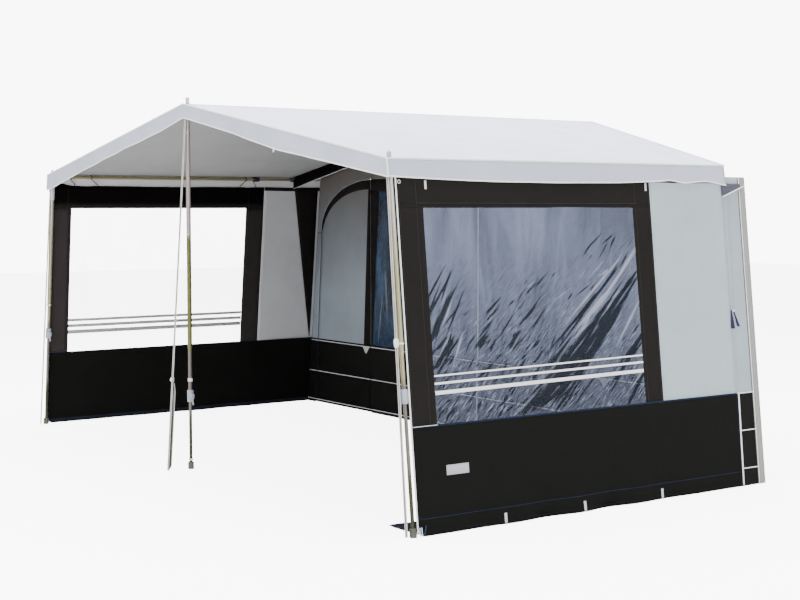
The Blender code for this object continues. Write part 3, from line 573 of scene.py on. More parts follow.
def mouldedFinish(name, colour, roughness, grain=320):
    # moulded plastic: a fine grain, and paler where it has been rubbed
    material, tree, shader, place = newFinish(name, colour, roughness, specular=0.4)
    marks = use(tree, scuffs, place["Object"])
    seen = ramp(tree, marks["Patches"], tint(colour, 0.85), tint(colour, 1.18))
    tree.links.new(seen, shader.inputs["Base Color"])
    roughen(tree, shader, marks["Patches"], 0.25, roughness - 0.12)
    bump(tree, shader, noiseOf(tree, place["Object"], grain, 3), 0.0003, 0.5)
    return material


clothColours = dict(
    roof=(0.77, 0.81, 1.0),
    liningAndShade=(0.345, 0.345, 0.35),
    valance=(0.53, 0.565, 0.67),
    valanceInsideLit=(0.80, 0.79, 0.80),
    tail=(0.085, 0.085, 0.115),
    wallGrey=(0.42, 0.48, 0.53),
    strip=(0.36, 0.415, 0.46),
    sideInside=(0.66, 0.66, 0.675),
    inside=(0.31, 0.36, 0.41),
    insideShade=(0.14, 0.125, 0.115),
    dark=(0.0145, 0.0130, 0.0122),
    darkInside=(0.042, 0.035, 0.035),
    darkInsideShade=(0.0035, 0.0025, 0.0025),
    black=(0.0062, 0.0062, 0.0058),
    rearBlack=(0.0105, 0.0105, 0.0100),
    hemBand=(0.016, 0.020, 0.030),
    piping=(0.93, 0.93, 0.93),
    thread=(0.010, 0.026, 0.072),
)
roofCloth = clothFinish("roofCloth", clothColours["roof"], 0.75, 900)
# the roof's underside is a darker grey than its top, partly its own grey and partly painted shade
roofLiningAndShade = clothFinish("roofLiningAndShade", clothColours["liningAndShade"], 0.85, 900)
valanceCloth = clothFinish("valanceCloth", clothColours["valance"], 0.8, 900)
# painted light: the side valances' inner face is paler than the outer, as if the sun shone through the cloth
valanceInsideLit = clothFinish("valanceInsideLit", clothColours["valanceInsideLit"], 0.8, 900)
tailCloth = clothFinish("tailCloth", clothColours["tail"], 0.8, 900)
railCloth = clothFinish("railCloth", (0.30, 0.30, 0.295), 0.7, 900)
stripeCloth = clothFinish("stripeCloth", (0.40, 0.40, 0.42), 0.6, 1200)
wallCloth = clothFinish("wallCloth", clothColours["wallGrey"], 0.85, 800)
skirtBelow = ((site["skirtTop"], clothColours["black"]),)
wallAndSkirtCloth = clothFinish("wallAndSkirtCloth", clothColours["wallGrey"], 0.8, 800, below=skirtBelow)
stripCloth = clothFinish("stripCloth", clothColours["strip"], 0.8, 800, below=skirtBelow)
# painted shade: the rear wall's inner face is darker than its outside, and darkens further towards the roof
shadedInsideCloth = clothFinish(
    "shadedInsideCloth", clothColours["inside"], 0.85, 800, below=skirtBelow, fade=(1.0, 2.0, clothColours["insideShade"])
)
# painted light: the side walls' inner face is paler than the grey outside, as if lit through the cloth
sideInside = clothFinish("sideInside", clothColours["sideInside"], 0.85, 800)
darkCloth = clothFinish("darkCloth", clothColours["dark"], 0.85, 700, specular=0.06)
# painted shade: the dark cloth's inner face darkens near the top, under the eave
darkInside = clothFinish(
    "darkInside", clothColours["darkInside"], 0.85, 700, fade=(1.70, 1.79, clothColours["darkInsideShade"]), specular=0.04
)
skirtCloth = clothFinish("skirtCloth", clothColours["black"], 0.7, 600, specular=0.06)
skirtInside = clothFinish(
    "skirtInside", clothColours["black"], 0.7, 600, below=((0.034, clothColours["hemBand"]),), specular=0.06
)
rearSkirtInside = clothFinish(
    "rearSkirtInside", clothColours["rearBlack"], 0.7, 600, below=((0.034, clothColours["hemBand"]),), specular=0.06
)
pipingCloth = clothFinish("pipingCloth", clothColours["piping"], 0.6, 1200, soil=0.96)
webbing = webFinish("webbing", (0.66, 0.64, 0.61), (0.22, 0.16, 0.15), 0.0034)
plainWebbing = webFinish("plainWebbing", (0.74, 0.75, 0.77), (0.66, 0.67, 0.70), 0.002)
blueThread = stitchFinish("blueThread", clothColours["thread"], clothColours["black"], 0.007)
greyThread = stitchFinish("greyThread", (0.36, 0.39, 0.43), clothColours["wallGrey"], 0.006)
darkThread = stitchFinish("darkThread", (0.035, 0.033, 0.031), clothColours["dark"], 0.006)
brownThread = stitchFinish("brownThread", (0.16, 0.12, 0.10), (0.08, 0.06, 0.05), 0.006, 0.1)
oliveCloth = clothFinish("oliveCloth", (0.085, 0.085, 0.045), 0.8, 700)
navyCloth = clothFinish("navyCloth", (0.028, 0.032, 0.085), 0.8, 700)
zipTeeth = stitchFinish("zipTeeth", (0.035, 0.045, 0.065), (0.012, 0.014, 0.018), 0.004, 0.1)
blueCord = stitchFinish("blueCord", (0.02, 0.05, 0.13), (0.008, 0.02, 0.05), 0.009, 0.2)
# each film's light colour is its painted highlight and its dark colour its painted shade; the foot share sets how far
# the painted shade darkens its foot
rightFilm = filmFinish("rightFilm", dict(
    cloud=(0.172, 0.197, 0.285), light=(0.27, 0.28, 0.36), dark=(0.006, 0.010, 0.018), roughness=0.25, specular=0.2,
    ripple=42, calm=0.12, clear=0.40, veiled=0.56, foldVeil=0.35, fadeLow=0.60, fadeHigh=1.60, shadedFootShare=0.45,
    patchy=0.20,
))
leftFilm = filmFinish("leftFilm", dict(
    cloud=(0.86, 0.89, 0.93), light=(0.95, 0.96, 0.98), dark=(0.40, 0.42, 0.45), roughness=0.2, specular=0.2,
    ripple=47, calm=0.3, clear=0.03, veiled=0.07, foldVeil=0.05, fadeLow=0.60, fadeHigh=1.25, shadedFootShare=0.9, patchy=0.14,
))
rearFilm = filmFinish("rearFilm", dict(
    cloud=(0.022, 0.045, 0.090), light=(0.20, 0.27, 0.33), dark=(0.003, 0.005, 0.008), roughness=0.25, specular=0.3,
    ripple=82, calm=0.9, clear=0.975, veiled=0.99, foldVeil=0.05, fadeLow=0.60, fadeHigh=1.0, shadedFootShare=0.9, patchy=0.8,
))
# the tones run from the ground up, painted reflections of grass low down and the surroundings higher up
steelTube = tubeFinish("steelTube", dict(
    tones=((0.070, 0.070, 0.040), (0.22, 0.20, 0.17), (0.46, 0.44, 0.27), (0.60, 0.55, 0.49)),
    changes=((0.40, 0.50), (0.92, 1.00), (1.60, 1.80)), roughness=0.40, metallic=0.75,
))
centreTube = tubeFinish("centreTube", dict(
    tones=((0.065, 0.065, 0.035), (0.20, 0.18, 0.165), (0.19, 0.185, 0.065), (0.55, 0.49, 0.455)),
    changes=((0.43, 0.50), (0.91, 0.99), (1.65, 1.72)), roughness=0.40, metallic=0.75,
))
eaveTube = tubeFinish("eaveTube", dict(tones=((0.42, 0.37, 0.19),), changes=(), roughness=0.40, metallic=0.75))
greyNylon = mouldedFinish("greyNylon", (0.36, 0.40, 0.46), 0.5)
footNylon = mouldedFinish("footNylon", (0.10, 0.10, 0.075), 0.6)
darkNylon = mouldedFinish("darkNylon", (0.035, 0.035, 0.042), 0.5)
whiteNylon = mouldedFinish("whiteNylon", (0.82, 0.82, 0.82), 0.45)
paleNylon = mouldedFinish("paleNylon", (0.50, 0.50, 0.47), 0.5)
print("finishes made")


def eased(x, marks, reach=0.05):
    # straight runs between the marks, rounded off over a short reach
    spots, values = np.array(marks, float).T
    return sum(np.interp(x + step, spots, values) for step in np.linspace(-reach, reach, 5)) / 5


# Roof: one sheet over both slopes; its underside is a darker grey, partly the cloth's own grey inside and partly
# painted shade
roofCut = dict(
    edgePastWall=0.0033, lip=0.034, cornerDepth=2.545, sag=0.020, rearRafter=2.5153, poleGap=0.001,
    ridgeRounding=0.006, puckerHeight=0.0025, piping=0.0035, endLift=0.0015, sideLift=0.0012,
    seam=(0.018, 0.0012), seamInset=0.002, seamLift=0.0016,
)
roofReach = site["eaveHalf"] + roofCut["edgePastWall"]
slopeLength = roofReach / roofCos
slopeDepth = (site["ridgeEnd"] + roofCut["cornerDepth"]) / 2 + roofCut["lip"]


def rearEdge(x):
    # how far back the roof reaches: straight from the ridge's end to each rear corner
    return site["ridgeEnd"] + np.abs(x) / roofReach * (roofCut["cornerDepth"] - site["ridgeEnd"])


def roofPoint(x, along, lift=0.0):
    # the slopes' height less a sag that is nothing at the poles and most between them,
    # and a few soft puckers that run down the slope
    share = np.abs(x) / roofReach
    depth = -roofCut["lip"] + along * (rearEdge(x) + roofCut["lip"])
    rounding = np.sqrt(x * x + roofCut["ridgeRounding"] ** 2) - roofCut["ridgeRounding"]
    height = site["ridgeHeight"] - roofTan * rounding + roofCut["poleGap"] / roofCos
    bay = np.clip(depth / roofCut["rearRafter"], 0, 1)
    height = height - roofCut["sag"] * swell(share) * swell(bay)
    puckers = crumple(x, depth * 0.6, 3, 0.9)
    height = height + roofCut["puckerHeight"] * puckers * swell(share) ** 0.5 * swell(bay) ** 0.5
    return np.stack(np.broadcast_arrays(x, depth - site["middleDepth"], height + lift), -1)


canopy = sheetMesh(
    "roofCanopy", stops(0.035, -roofReach, 0, roofReach), stops(0.016, 0, 1), roofPoint, site["cloth"]
)
across, run = stops(0.03, -roofReach, 0, roofReach), stops(0.02, 0, 1)
paths = [roofPoint(across, end, roofCut["endLift"]) for end in (0, 1)]
paths += [roofPoint(edge, run, roofCut["sideLift"]) for edge in (-roofReach, roofReach)]
edging = [cord(path, roofCut["piping"], upward) for path in paths]
roofPiping = trim("roofPiping", edging, pipingCloth, "webbing")
run = roofCut["seamInset"] + (1 - 2 * roofCut["seamInset"]) * run
seam = band(roofPoint(0, run, roofCut["seamLift"]), *roofCut["seam"], upward)
ridgeSeam = trim("ridgeSeam", [seam], roofCloth, "roof_cloth")
stretch(
    canopy, roofCloth, "roof_cloth", (2 * slopeLength, site["ridgeEnd"] + roofCut["lip"]),
    ["ridge_pole_front", "front_left_rafter", "front_right_rafter"], ("left_roof", "right_roof"),
    area=2 * slopeLength * slopeDepth, withPieces=(roofPiping, ridgeSeam), back=roofLiningAndShade,
)

# A metal eyelet round each pin that comes up through the roof, and a cap on the pin
eyelet = dict(radius=0.0175, lift=0.0038, band=(0.006, 0.0016))
pinCap = dict(low=0.003, radius=0.013, middle=0.040, corner=0.027)
eyelets, caps = [], []
for side in (-1, 0, 1):
    lean = Vector((-side * leanSin, 0, leanCos if side else 1))
    foot = Vector((side * (site["eaveHalf"] - site["legInset"] * leanCos), -site["middleDepth"], 0))
    foot.z = float(roofLine(foot.x)) + eyelet["lift"]
    ring = np.stack([np.cos(ringTurn), np.sin(ringTurn), -side * roofTan * np.cos(ringTurn)], -1)
    eyelets.append(band(ring * eyelet["radius"] + np.array(foot), *eyelet["band"], upward))
    r, tall = pinCap["radius"], pinCap["corner" if side else "middle"]
    shape = [(r - 0.001, 0), (r, 0.001), (r, tall * 0.85), (r * 0.8, tall * 0.96), (r * 0.4, tall)]
    caps.append(turned("cap", shape, foot + pinCap["low"] * lean, lean))
trim("roofEyelets", eyelets, steelTube, "steel")
trim("pinCaps", caps, paleNylon, "grey_plastic")
print("roof made")

# Valances: they hang from the roof's edge with a light wave, piped along both edges
valanceCut = dict(
    drop=0.115, pastEave=0.003, standoff=0.033, underRoof=dict(front=0.0005, side=0.002), waves=6, wave=0.005,
    rumple=0.002, sideWave=0.00175, sideIn=0.0013, topOut=0.0023, clear=0.0078,
    topPiping=0.0028, bottomPiping=0.0043, cornerPiping=0.0055,
    frontDrops=(
        (-2.353, 0.112), (-2.28, 0.120), (-1.9, 0.110), (-1.6, 0.105), (-0.95, 0.099), (-0.34, 0.102),
        (0.0, 0.087), (0.64, 0.096), (1.0, 0.113), (1.18, 0.120), (1.80, 0.106), (2.353, 0.096),
    ),
    rightHem=(
        (-0.04, 1.906), (0.05, 1.902), (0.20, 1.896), (0.50, 1.887), (0.73, 1.883), (1.17, 1.881), (1.645, 1.886),
        (1.98, 1.897), (2.09, 1.908), (2.15, 1.882), (2.25, 1.894), (2.40, 1.901), (2.545, 1.874),
    ),
    leftHem=((-0.04, 1.889), (0.70, 1.880), (1.40, 1.886), (2.10, 1.892), (2.545, 1.882)),
)
valanceTab = dict(x=1.18, start=0.9, end=1.18, ahead=0.002, band=(0.016, 0.0016))
frontEdge = site["eaveHalf"] + valanceCut["pastEave"]
sideStart = -valanceCut["standoff"] + valanceCut["sideIn"]


def valanceWave(share, down, height):
    # both valances' waves stand off more towards the hem, and fade out at the ends
    return height * down**2 * (ripple(share, valanceCut["waves"]) + swell(share))


def frontValancePoint(x, down):
    # the gable's front run, straight down from the roof line, its lower edge waved forwards
    share = np.abs(x) / frontEdge
    spreading = 1 + down * valanceCut["drop"] * leanTan / frontEdge
    wave = valanceWave(share, down, valanceCut["wave"])
    wave = wave + valanceCut["rumple"] * down * crumple(x, down * 0.1, 11, 0.7) * swell(share)
    depth = -valanceCut["standoff"] - wave
    height = roofLine(x) - valanceCut["underRoof"]["front"] - eased(x, valanceCut["frontDrops"]) * down
    return np.stack([x * spreading, depth - site["middleDepth"], height], -1)


def sideValancePoint(side, depth, down):
    # the hem stands off the wall, a little more in each wave
    share = (depth - sideStart) / (roofCut["cornerDepth"] - sideStart)
    hem = eased(depth, valanceCut["rightHem" if side > 0 else "leftHem"])
    top = site["eaveHeight"] - valanceCut["underRoof"]["side"]
    out = valanceCut["topOut"] + (valanceCut["clear"] - valanceCut["topOut"]) * down
    return wallPoint(side, depth, top + (hem - top) * down, out + valanceWave(share, down, valanceCut["sideWave"]))


def makeValance(name, place, run, width, solids, near, far=None):
    edges = ((0, valanceCut["topPiping"]), (1, valanceCut["bottomPiping"]))
    cords = [cord(place(run, down), radius, upward) for down, radius in edges]
    edging = trim(f"{name}ValancePiping", cords, pipingCloth, "webbing")
    piece = sheetMesh(f"{name}Valance", run, down, place, site["cloth"])
    hang(piece, near, "valance_cloth", (width, valanceCut["drop"]), [canopy], solids, withPieces=(edging,), back=far)


down = stops(0.1, 0, 1)
run = stops(0.03, -frontEdge, 0, frontEdge)
solids = "front_left_valance", "front_right_valance"
makeValance("front", frontValancePoint, run, 2 * slopeLength, solids, valanceCloth)
tab = frontValancePoint(valanceTab["x"], valanceTab["start"] + (valanceTab["end"] - valanceTab["start"]) * down)
tab[:, 1] -= valanceTab["ahead"]
trim("valanceTab", [band(tab, *valanceTab["band"], frontward)], whiteNylon, "webbing")
run = stops(0.03, sideStart, roofCut["cornerDepth"])
for name, side in sides:
    place = partial(sideValancePoint, side)
    width = roofCut["cornerDepth"] + valanceCut["standoff"]
    # the inner face takes the paler finish, which is painted light
    makeValance(name, place, run, width, (f"{name}_valance",), *faces(side, valanceInsideLit, valanceCloth))
    corner = cord(place(sideStart, down), valanceCut["cornerPiping"], backward)
    trim(f"{name}CornerPiping", [corner], pipingCloth, "webbing")
print("valances made")

# Side walls: the dark panel round the window stops short of the eave and hangs from it on ties
wallCut = dict(
    windowFront=0.166, windowRear=dict(left=1.765, right=1.735), windowTop=1.741,
    darkRear=dict(left=1.935, right=1.880), top=1.918, dip=0.004, cornerRise=0.038, cornerReach=0.16, pull=0.0022,
    weldWidth=0.012, weldThickness=(0.0026, 0.0022), weldOut=(0.003, 0.004), frontWeld=dict(left=0.012, right=0.034),
    stitch=(0.0022, 0.0026), stitchInset=0.022, edgeStitches=(0.014, 0.010), stitchEnds=(0.004, 0.012),
    topHem=(0.030, 0.0028), topHemAt=0.013, rearSeams=(0.012, 2.508),
    ties=((0.15, 0.20), (0.324, 0.398), (1.735, 1.692), (1.808, 1.852)),
)
creaseCut = dict(height=0.0028, slack=0.0030, step=0.0070)
creases = dict(
    right=(
        dict(count=10, depths=(1.06, 1.60), heights=(0.80, 1.14), slope=0.75, angle=43, spread=3, fan=-8,
             length=(0.15, 0.30), width=(0.007, 0.016), sunk=1.0, strength=1.1),
        dict(count=42, depths=(0.92, 1.75), heights=(0.68, 1.22), slope=0.95, angle=42, spread=4, fan=-10,
             length=(0.12, 0.38), width=(0.005, 0.011), sunk=0.62, strength=1.2),
        dict(count=22, depths=(0.16, 0.38), heights=(0.84, 1.28), angle=58, spread=6,
             length=(0.06, 0.20), width=(0.0045, 0.009), sunk=0.7, strength=1.1),
        dict(count=170, depths=(0.18, 1.20), heights=(0.59, 1.04), slope=-0.1, angle=43, spread=9,
             length=(0.018, 0.052), width=(0.0045, 0.0065), sunk=0.85, strength=0.9),
        dict(count=90, depths=(0.5, 1.7), heights=(0.95, 1.42), slope=0.5, angle=42, spread=6,
             length=(0.02, 0.09), width=(0.0045, 0.0065), sunk=0.8, strength=0.8),
        dict(count=10, depths=(0.3, 1.5), heights=(1.35, 1.70), angle=50, spread=20,
             length=(0.04, 0.12), width=(0.006, 0.012), sunk=0.5, strength=0.25),
    ),
    left=(
        dict(count=26, depths=(0.2, 1.7), heights=(0.60, 1.70), angle=50, spread=16,
             length=(0.05, 0.25), width=(0.006, 0.014), sunk=0.5, strength=0.6),
    ),
)
stripeCut = dict(
    out=0.0012, thickness=0.0012,
    right=dict(start=0.022, rise=0.024, lines=((0.849, 0.009), (0.808, 0.012), (0.758, 0.020))),
    left=dict(start=0.004, rise=0.0, lines=((0.836, 0.022), (0.790, 0.025), (0.740, 0.031))),
)


def wallTop(depth):
    # the top edge dips a little between the ties, and climbs to the front corner
    near = np.clip(1 - (depth - site["wallFront"]) / wallCut["cornerReach"], 0, 1)
    spots = (site["wallFront"], *sorted(tie[1] for tie in wallCut["ties"]), site["wallEnd"])
    share = np.interp(depth, spots, range(len(spots)))
    return wallCut["top"] + wallCut["cornerRise"] * near - wallCut["dip"] * np.sin(math.pi * share) ** 2


def panelPoint(side, depth, height, out=0.0):
    # the cloth is pulled taut at its seams and eases a little between them. Above the
    # window, its rows run up to the dipping edge
    above = np.clip((height - wallCut["windowTop"]) / (wallCut["top"] - wallCut["windowTop"]), 0, 1)
    height = height + above * (wallTop(depth) - wallCut["top"])
    ease = swell((depth - site["wallFront"]) / (site["wallEnd"] - site["wallFront"]))
    return wallPoint(side, depth, height, out + wallCut["pull"] * crumple(depth, height, 20 + side, 1.1) * ease)


def sideFolds(side, depth, height):
    # the side film's long creases
    return strokes(depth, height, 30 + side, creases["right" if side > 0 else "left"])


def filmPoint(side, depth, height, out=0.0):
    # the film's slack, and on it the long creases, which fade towards its welded edges
    rear = wallCut["windowRear"]["right" if side > 0 else "left"]
    wide = swell((depth - wallCut["windowFront"]) / (rear - wallCut["windowFront"]))
    tall = swell((height - site["skirtTop"]) / (wallCut["windowTop"] - site["skirtTop"]))
    fade = (wide * tall) ** 0.3
    folds = np.clip(sideFolds(side, depth, height), -1, 1)
    rise = creaseCut["slack"] * crumple(depth, height, 33 + side, 0.7) + creaseCut["height"] * folds
    return wallPoint(side, depth, height, fade * rise + out)


def makePanel(name, side):
    # the dark panel is sewn from three strips: one over the window and one at each side
    front, rear, top = wallCut["windowFront"], wallCut["windowRear"][name], wallCut["windowTop"]
    darkRear, dark = wallCut["darkRear"][name], darkCloth if side > 0 else darkInside
    place, tape = partial(panelPoint, side), partial(band, outward=outOf(side))
    wide, (thick, thin), (near, far) = wallCut["weldWidth"], wallCut["weldThickness"], wallCut["weldOut"]
    u, v = stops(0.04, site["wallFront"] + 0.002, darkRear - 0.002), stops(0.04, seamTop, top)
    welds = [
        tape(place(u, top + near), wide, thick), tape(place(rear + far, v), wide, thin),
        tape(place(front + near, v), wallCut["frontWeld"][name], thick),
    ]
    welds = trim(f"{name}WindowWeld", welds, dark, "dark_cloth")
    inset, (first, last), (low, high) = wallCut["stitchInset"], wallCut["edgeStitches"], wallCut["stitchEnds"]
    u, v = stops(0.04, front - 0.02, rear + 0.02), stops(0.04, seamTop + low, wallCut["top"] - high)
    spots = site["wallFront"] + first, front - inset, rear + inset, darkRear - last
    lines = [place(u, top + inset)] + [place(spot, v) for spot in spots]
    lines = [tape(line, *wallCut["stitch"]) for line in lines]
    stitches = trim(f"{name}PanelStitches", lines, darkThread, "dark_cloth")
    for part, (west, east), (low, high), trims in (
        ("WindowHead", (site["wallFront"], darkRear), (top, wallCut["top"]), (welds, stitches)),
        ("FrontPost", (site["wallFront"], front), (seamTop, top - site["seamGap"]), ()),
        ("RearPost", (rear, darkRear), (seamTop, top - site["seamGap"]), ()),
    ):
        piece = sheetMesh(f"{name}{part}", stops(0.03, west, east), stops(0.03, low, high), place, site["cloth"])
        stretch(
            piece, dark, "dark_cloth", (east - west, (high - low) / leanCos), [f"{name}_eave_pole"],
            (f"{name}_window_panel",), withPieces=trims,
        )


def makeFilm(name, side):
    # the clear film with the printed stripes across it
    front, rear, top = wallCut["windowFront"], wallCut["windowRear"][name], wallCut["windowTop"]
    gap, step = site["seamGap"], creaseCut["step"]
    film = sheetMesh(
        f"{name}WindowFilm", stops(step, front + gap, rear - gap), stops(step, seamTop, top - gap),
        partial(filmPoint, side), site["film"], crease=partial(sideFolds, side),
    )
    lines = []
    u = stops(0.015, front + stripeCut[name]["start"], rear - 0.004)
    for height, wide in stripeCut[name]["lines"]:
        slanted = height + stripeCut[name]["rise"] * ((u - front) / (rear - front) - 0.5)
        lines.append(band(filmPoint(side, u, slanted, stripeCut["out"]), wide, stripeCut["thickness"], outOf(side)))
    # the left window's stripes are seen from inside and take a grey, painted shade on white stripes
    lines = trim(f"{name}WindowStripes", lines, pipingCloth if side > 0 else stripeCloth, "webbing")
    stretch(
        film, rightFilm if side > 0 else leftFilm, "window_film", (rear - front, (top - seamTop) / leanCos),
        [f"{name}WindowHead"], (f"{name}_window",), withPieces=(lines,),
    )


shadeWedgeCut = dict(
    top=1.909, knee=0.918, foot=0.585, front=(2.238, 2.408, 2.466), rear=(2.478, 2.475, 2.472), behind=0.0048,
)


def shadeWedgeEdge(side, edge, share):
    # a border that runs straight from the top to the knee, and from there to the foot
    height = shadeWedgeCut["top"] + share * (shadeWedgeCut["foot"] - shadeWedgeCut["top"])
    marks = shadeWedgeCut["foot"], shadeWedgeCut["knee"], shadeWedgeCut["top"]
    return wallPoint(side, np.interp(height, marks, shadeWedgeCut[edge][::-1]), height, -shadeWedgeCut["behind"])


def makeRearPanel(name, side):
    # the grey panel, and a dark wedge of painted shade inside it: wide at the top, and a point at the skirt
    # the inner face is the paler finish, painted light
    outer, inner = faces(side, wallCloth, sideInside)
    darkRear, place, tape = wallCut["darkRear"][name], partial(panelPoint, side), partial(band, outward=outOf(side))
    piece = sheetMesh(
        f"{name}RearPanel", stops(0.03, darkRear + site["seamGap"], site["wallEnd"]),
        stops(0.03, seamTop, wallCut["windowTop"], wallCut["top"]), place, site["cloth"],
    )
    size = (site["wallEnd"] - darkRear, (wallCut["top"] - seamTop) / leanCos)
    # painted shade: a dark wedge just inside the panel, where shade falls between the wall and the awning behind
    shadeWedge = ruled(
        f"{name}ShadeWedge", partial(shadeWedgeEdge, side, "front"), partial(shadeWedgeEdge, side, "rear"), stops(0.03, 0, 1), 0.25
    )
    topWidth, kneeWidth = (shadeWedgeCut["rear"][i] - shadeWedgeCut["front"][i] for i in (0, 1))
    area = (topWidth + kneeWidth) / 2 * (shadeWedgeCut["top"] - shadeWedgeCut["knee"])
    area = area + kneeWidth / 2 * (shadeWedgeCut["knee"] - shadeWedgeCut["foot"])
    stretch(shadeWedge, darkCloth, "dark_cloth", (topWidth, shadeWedgeCut["top"] - shadeWedgeCut["foot"]), [piece], area=area)
    (low, high), (inset, rearSeam) = wallCut["stitchEnds"], wallCut["rearSeams"]
    v = stops(0.04, seamTop + low, wallCut["top"] - high)
    seams = [tape(place(spot, v), *wallCut["stitch"]) for spot in (darkRear + inset, rearSeam)]
    seams = trim(f"{name}RearPanelStitches", seams, greyThread, "grey_cloth")
    u = stops(0.03, darkRear + 0.003, site["wallEnd"] - 0.003)
    topHem = tape(place(u, wallCut["top"] - wallCut["topHemAt"]), *wallCut["topHem"])
    topHem = trim(f"{name}TopHem", [topHem], darkCloth, "dark_cloth")
    stretch(
        piece, outer, "grey_cloth", size, [f"{name}_eave_pole"], (f"{name}_rear_panel",),
        withPieces=(seams, topHem), back=inner,
    )


tieCut = dict(radius=0.003, top=1.974, inward=0.021, ring=0.0152)


def makeTies(name, side):
    # a loop round the eave pole, and cords from it down to the wall's top edge
    cords, share = [], stops(0.1, 0, 1)
    for poleDepth, wallDepth in wallCut["ties"]:
        drop = wallTop(wallDepth) + 0.004 - tieCut["top"]
        depth = poleDepth + (wallDepth - poleDepth) * share
        path = wallPoint(side, depth, tieCut["top"] + drop * share, -tieCut["inward"] * (1 - share))
        cords.append(cord(path, tieCut["radius"], backward))
    poleX, poleZ = side * site["eavePole"][0], site["eavePole"][1]
    for spot in sorted({tie[0] for tie in wallCut["ties"]}):
        x, z = poleX + tieCut["ring"] * np.cos(ringTurn), poleZ + tieCut["ring"] * np.sin(ringTurn)
        cords.append(cord(np.stack([x, 0 * x + spot - site["middleDepth"], z], -1), tieCut["radius"], backward))
    trim(f"{name}WallTies", cords, darkThread, "dark_cloth")


stripCut = dict(
    roll=2.694, cordHeights=(0.577, 0.345, 0.11), cordRadius=0.0032, edgeRadius=0.0034, lineRadius=0.0024,
    tape=(0.012, 0.0016), tapeDepth=2.523, tapeLean=0.0185,
    strap=(0.008, 0.0014), strapTop=1.90, strapDepth=2.5335, strapLean=0.026,
    rollShape=((0.022, -0.002), (0.021, 0.004), (0.014, 0.008), (-0.014, 0.008), (-0.021, 0.004), (-0.022, -0.002)),
)


def makeStrip(name, side):
    # the strip past the corner: grey above, black below, with three white cords and a strap
    wall, outward, lowCord = partial(wallPoint, side), outOf(side), stripCut["cordHeights"][0]
    piece = sheetMesh(
        f"{name}RearStrip", stops(0.03, site["wallEnd"] + site["seamGap"], site["stripEnd"]),
        stops(0.03, site["hem"], site["skirtTop"], site["stripTop"]), wall, site["cloth"],
    )
    u = stops(0.03, site["wallEnd"] + 0.004, stripCut["roll"] - stripCut["rollShape"][0][0])
    cords = [cord(wall(u, height, 0.0022), stripCut["cordRadius"], outward) for height in stripCut["cordHeights"]]
    v = stops(0.05, 0.010, lowCord)
    slant = wall(stripCut["tapeDepth"] + stripCut["tapeLean"] * v, v, 0.0032)
    cords.append(band(slant, *stripCut["tape"], outward))
    v = stops(0.05, 0.006, site["stripTop"] - 0.004)
    cords.append(cord(wall(stripCut["roll"] - 0.026, v, 0.0030), stripCut["edgeRadius"], outward))
    cords = trim(f"{name}StripCords", cords, pipingCloth, "webbing")
    # the rolled edge past the cords, with a dark thread beside it
    roll = sweep("roll", wall(stripCut["roll"], v, 0.006), stripCut["rollShape"], outward)
    roll = trim(f"{name}StripRoll", [roll], railCloth, "grey_cloth")
    line = cord(wall(stripCut["roll"] - 0.034, v, 0.0022), stripCut["lineRadius"], outward)
    line = trim(f"{name}StripLine", [line], brownThread, "grey_cloth")
    v = stops(0.05, lowCord, stripCut["strapTop"])
    slant = wall(stripCut["strapDepth"] + stripCut["strapLean"] * (v - lowCord), v, 0.0018)
    strap = trim(f"{name}StripStrap", [band(slant, *stripCut["strap"], outward)], stripeCloth, "webbing")
    size = (site["stripEnd"] - site["wallEnd"], (site["stripTop"] - site["hem"]) / leanCos)
    hang(
        piece, stripCloth, "grey_cloth", size, [f"rear_{name}_upper_pole"],
        (f"{name}_rear_strip",), withPieces=(cords, strap, roll, line),
    )


pennant = dict(
    top=1.098, tip=0.006, out=0.0046, knotDepth=2.530, knotOut=0.012,
    tails=(("Front", 2.517, 2.524, 0.982, 0.036), ("Rear", 2.536, 2.575, 0.992, 0.024)),
    knot=((0.004, -0.008), (0.008, -0.005), (0.008, 0.005), (0.004, 0.008)),
)
tailCut = dict(start=2.506, long=0.208, top=1.886, deep=0.082, tip=0.012, topOut=0.0052, hemOut=0.012, piping=0.0038)


def pennantEdge(side, topDepth, lowDepth, low, wide, half, share):
    # one edge of a tail, which widens from its tip and leans back as it hangs
    width = pennant["tip"] + (wide - pennant["tip"]) * share
    depth = topDepth + (lowDepth - topDepth) * share + half * width / 2
    return wallPoint(side, depth, pennant["top"] + (low - pennant["top"]) * share, pennant["out"])


def tailTop(side, share):
    # level along the strip's top
    return wallPoint(side, tailCut["start"] + share * tailCut["long"], tailCut["top"], tailCut["topOut"])


def tailHem(side, share):
    # the hem climbs towards the rear
    low = tailCut["top"] - tailCut["deep"] + (tailCut["deep"] - tailCut["tip"]) * share
    return wallPoint(side, tailCut["start"] + share * tailCut["long"], low, tailCut["hemOut"])


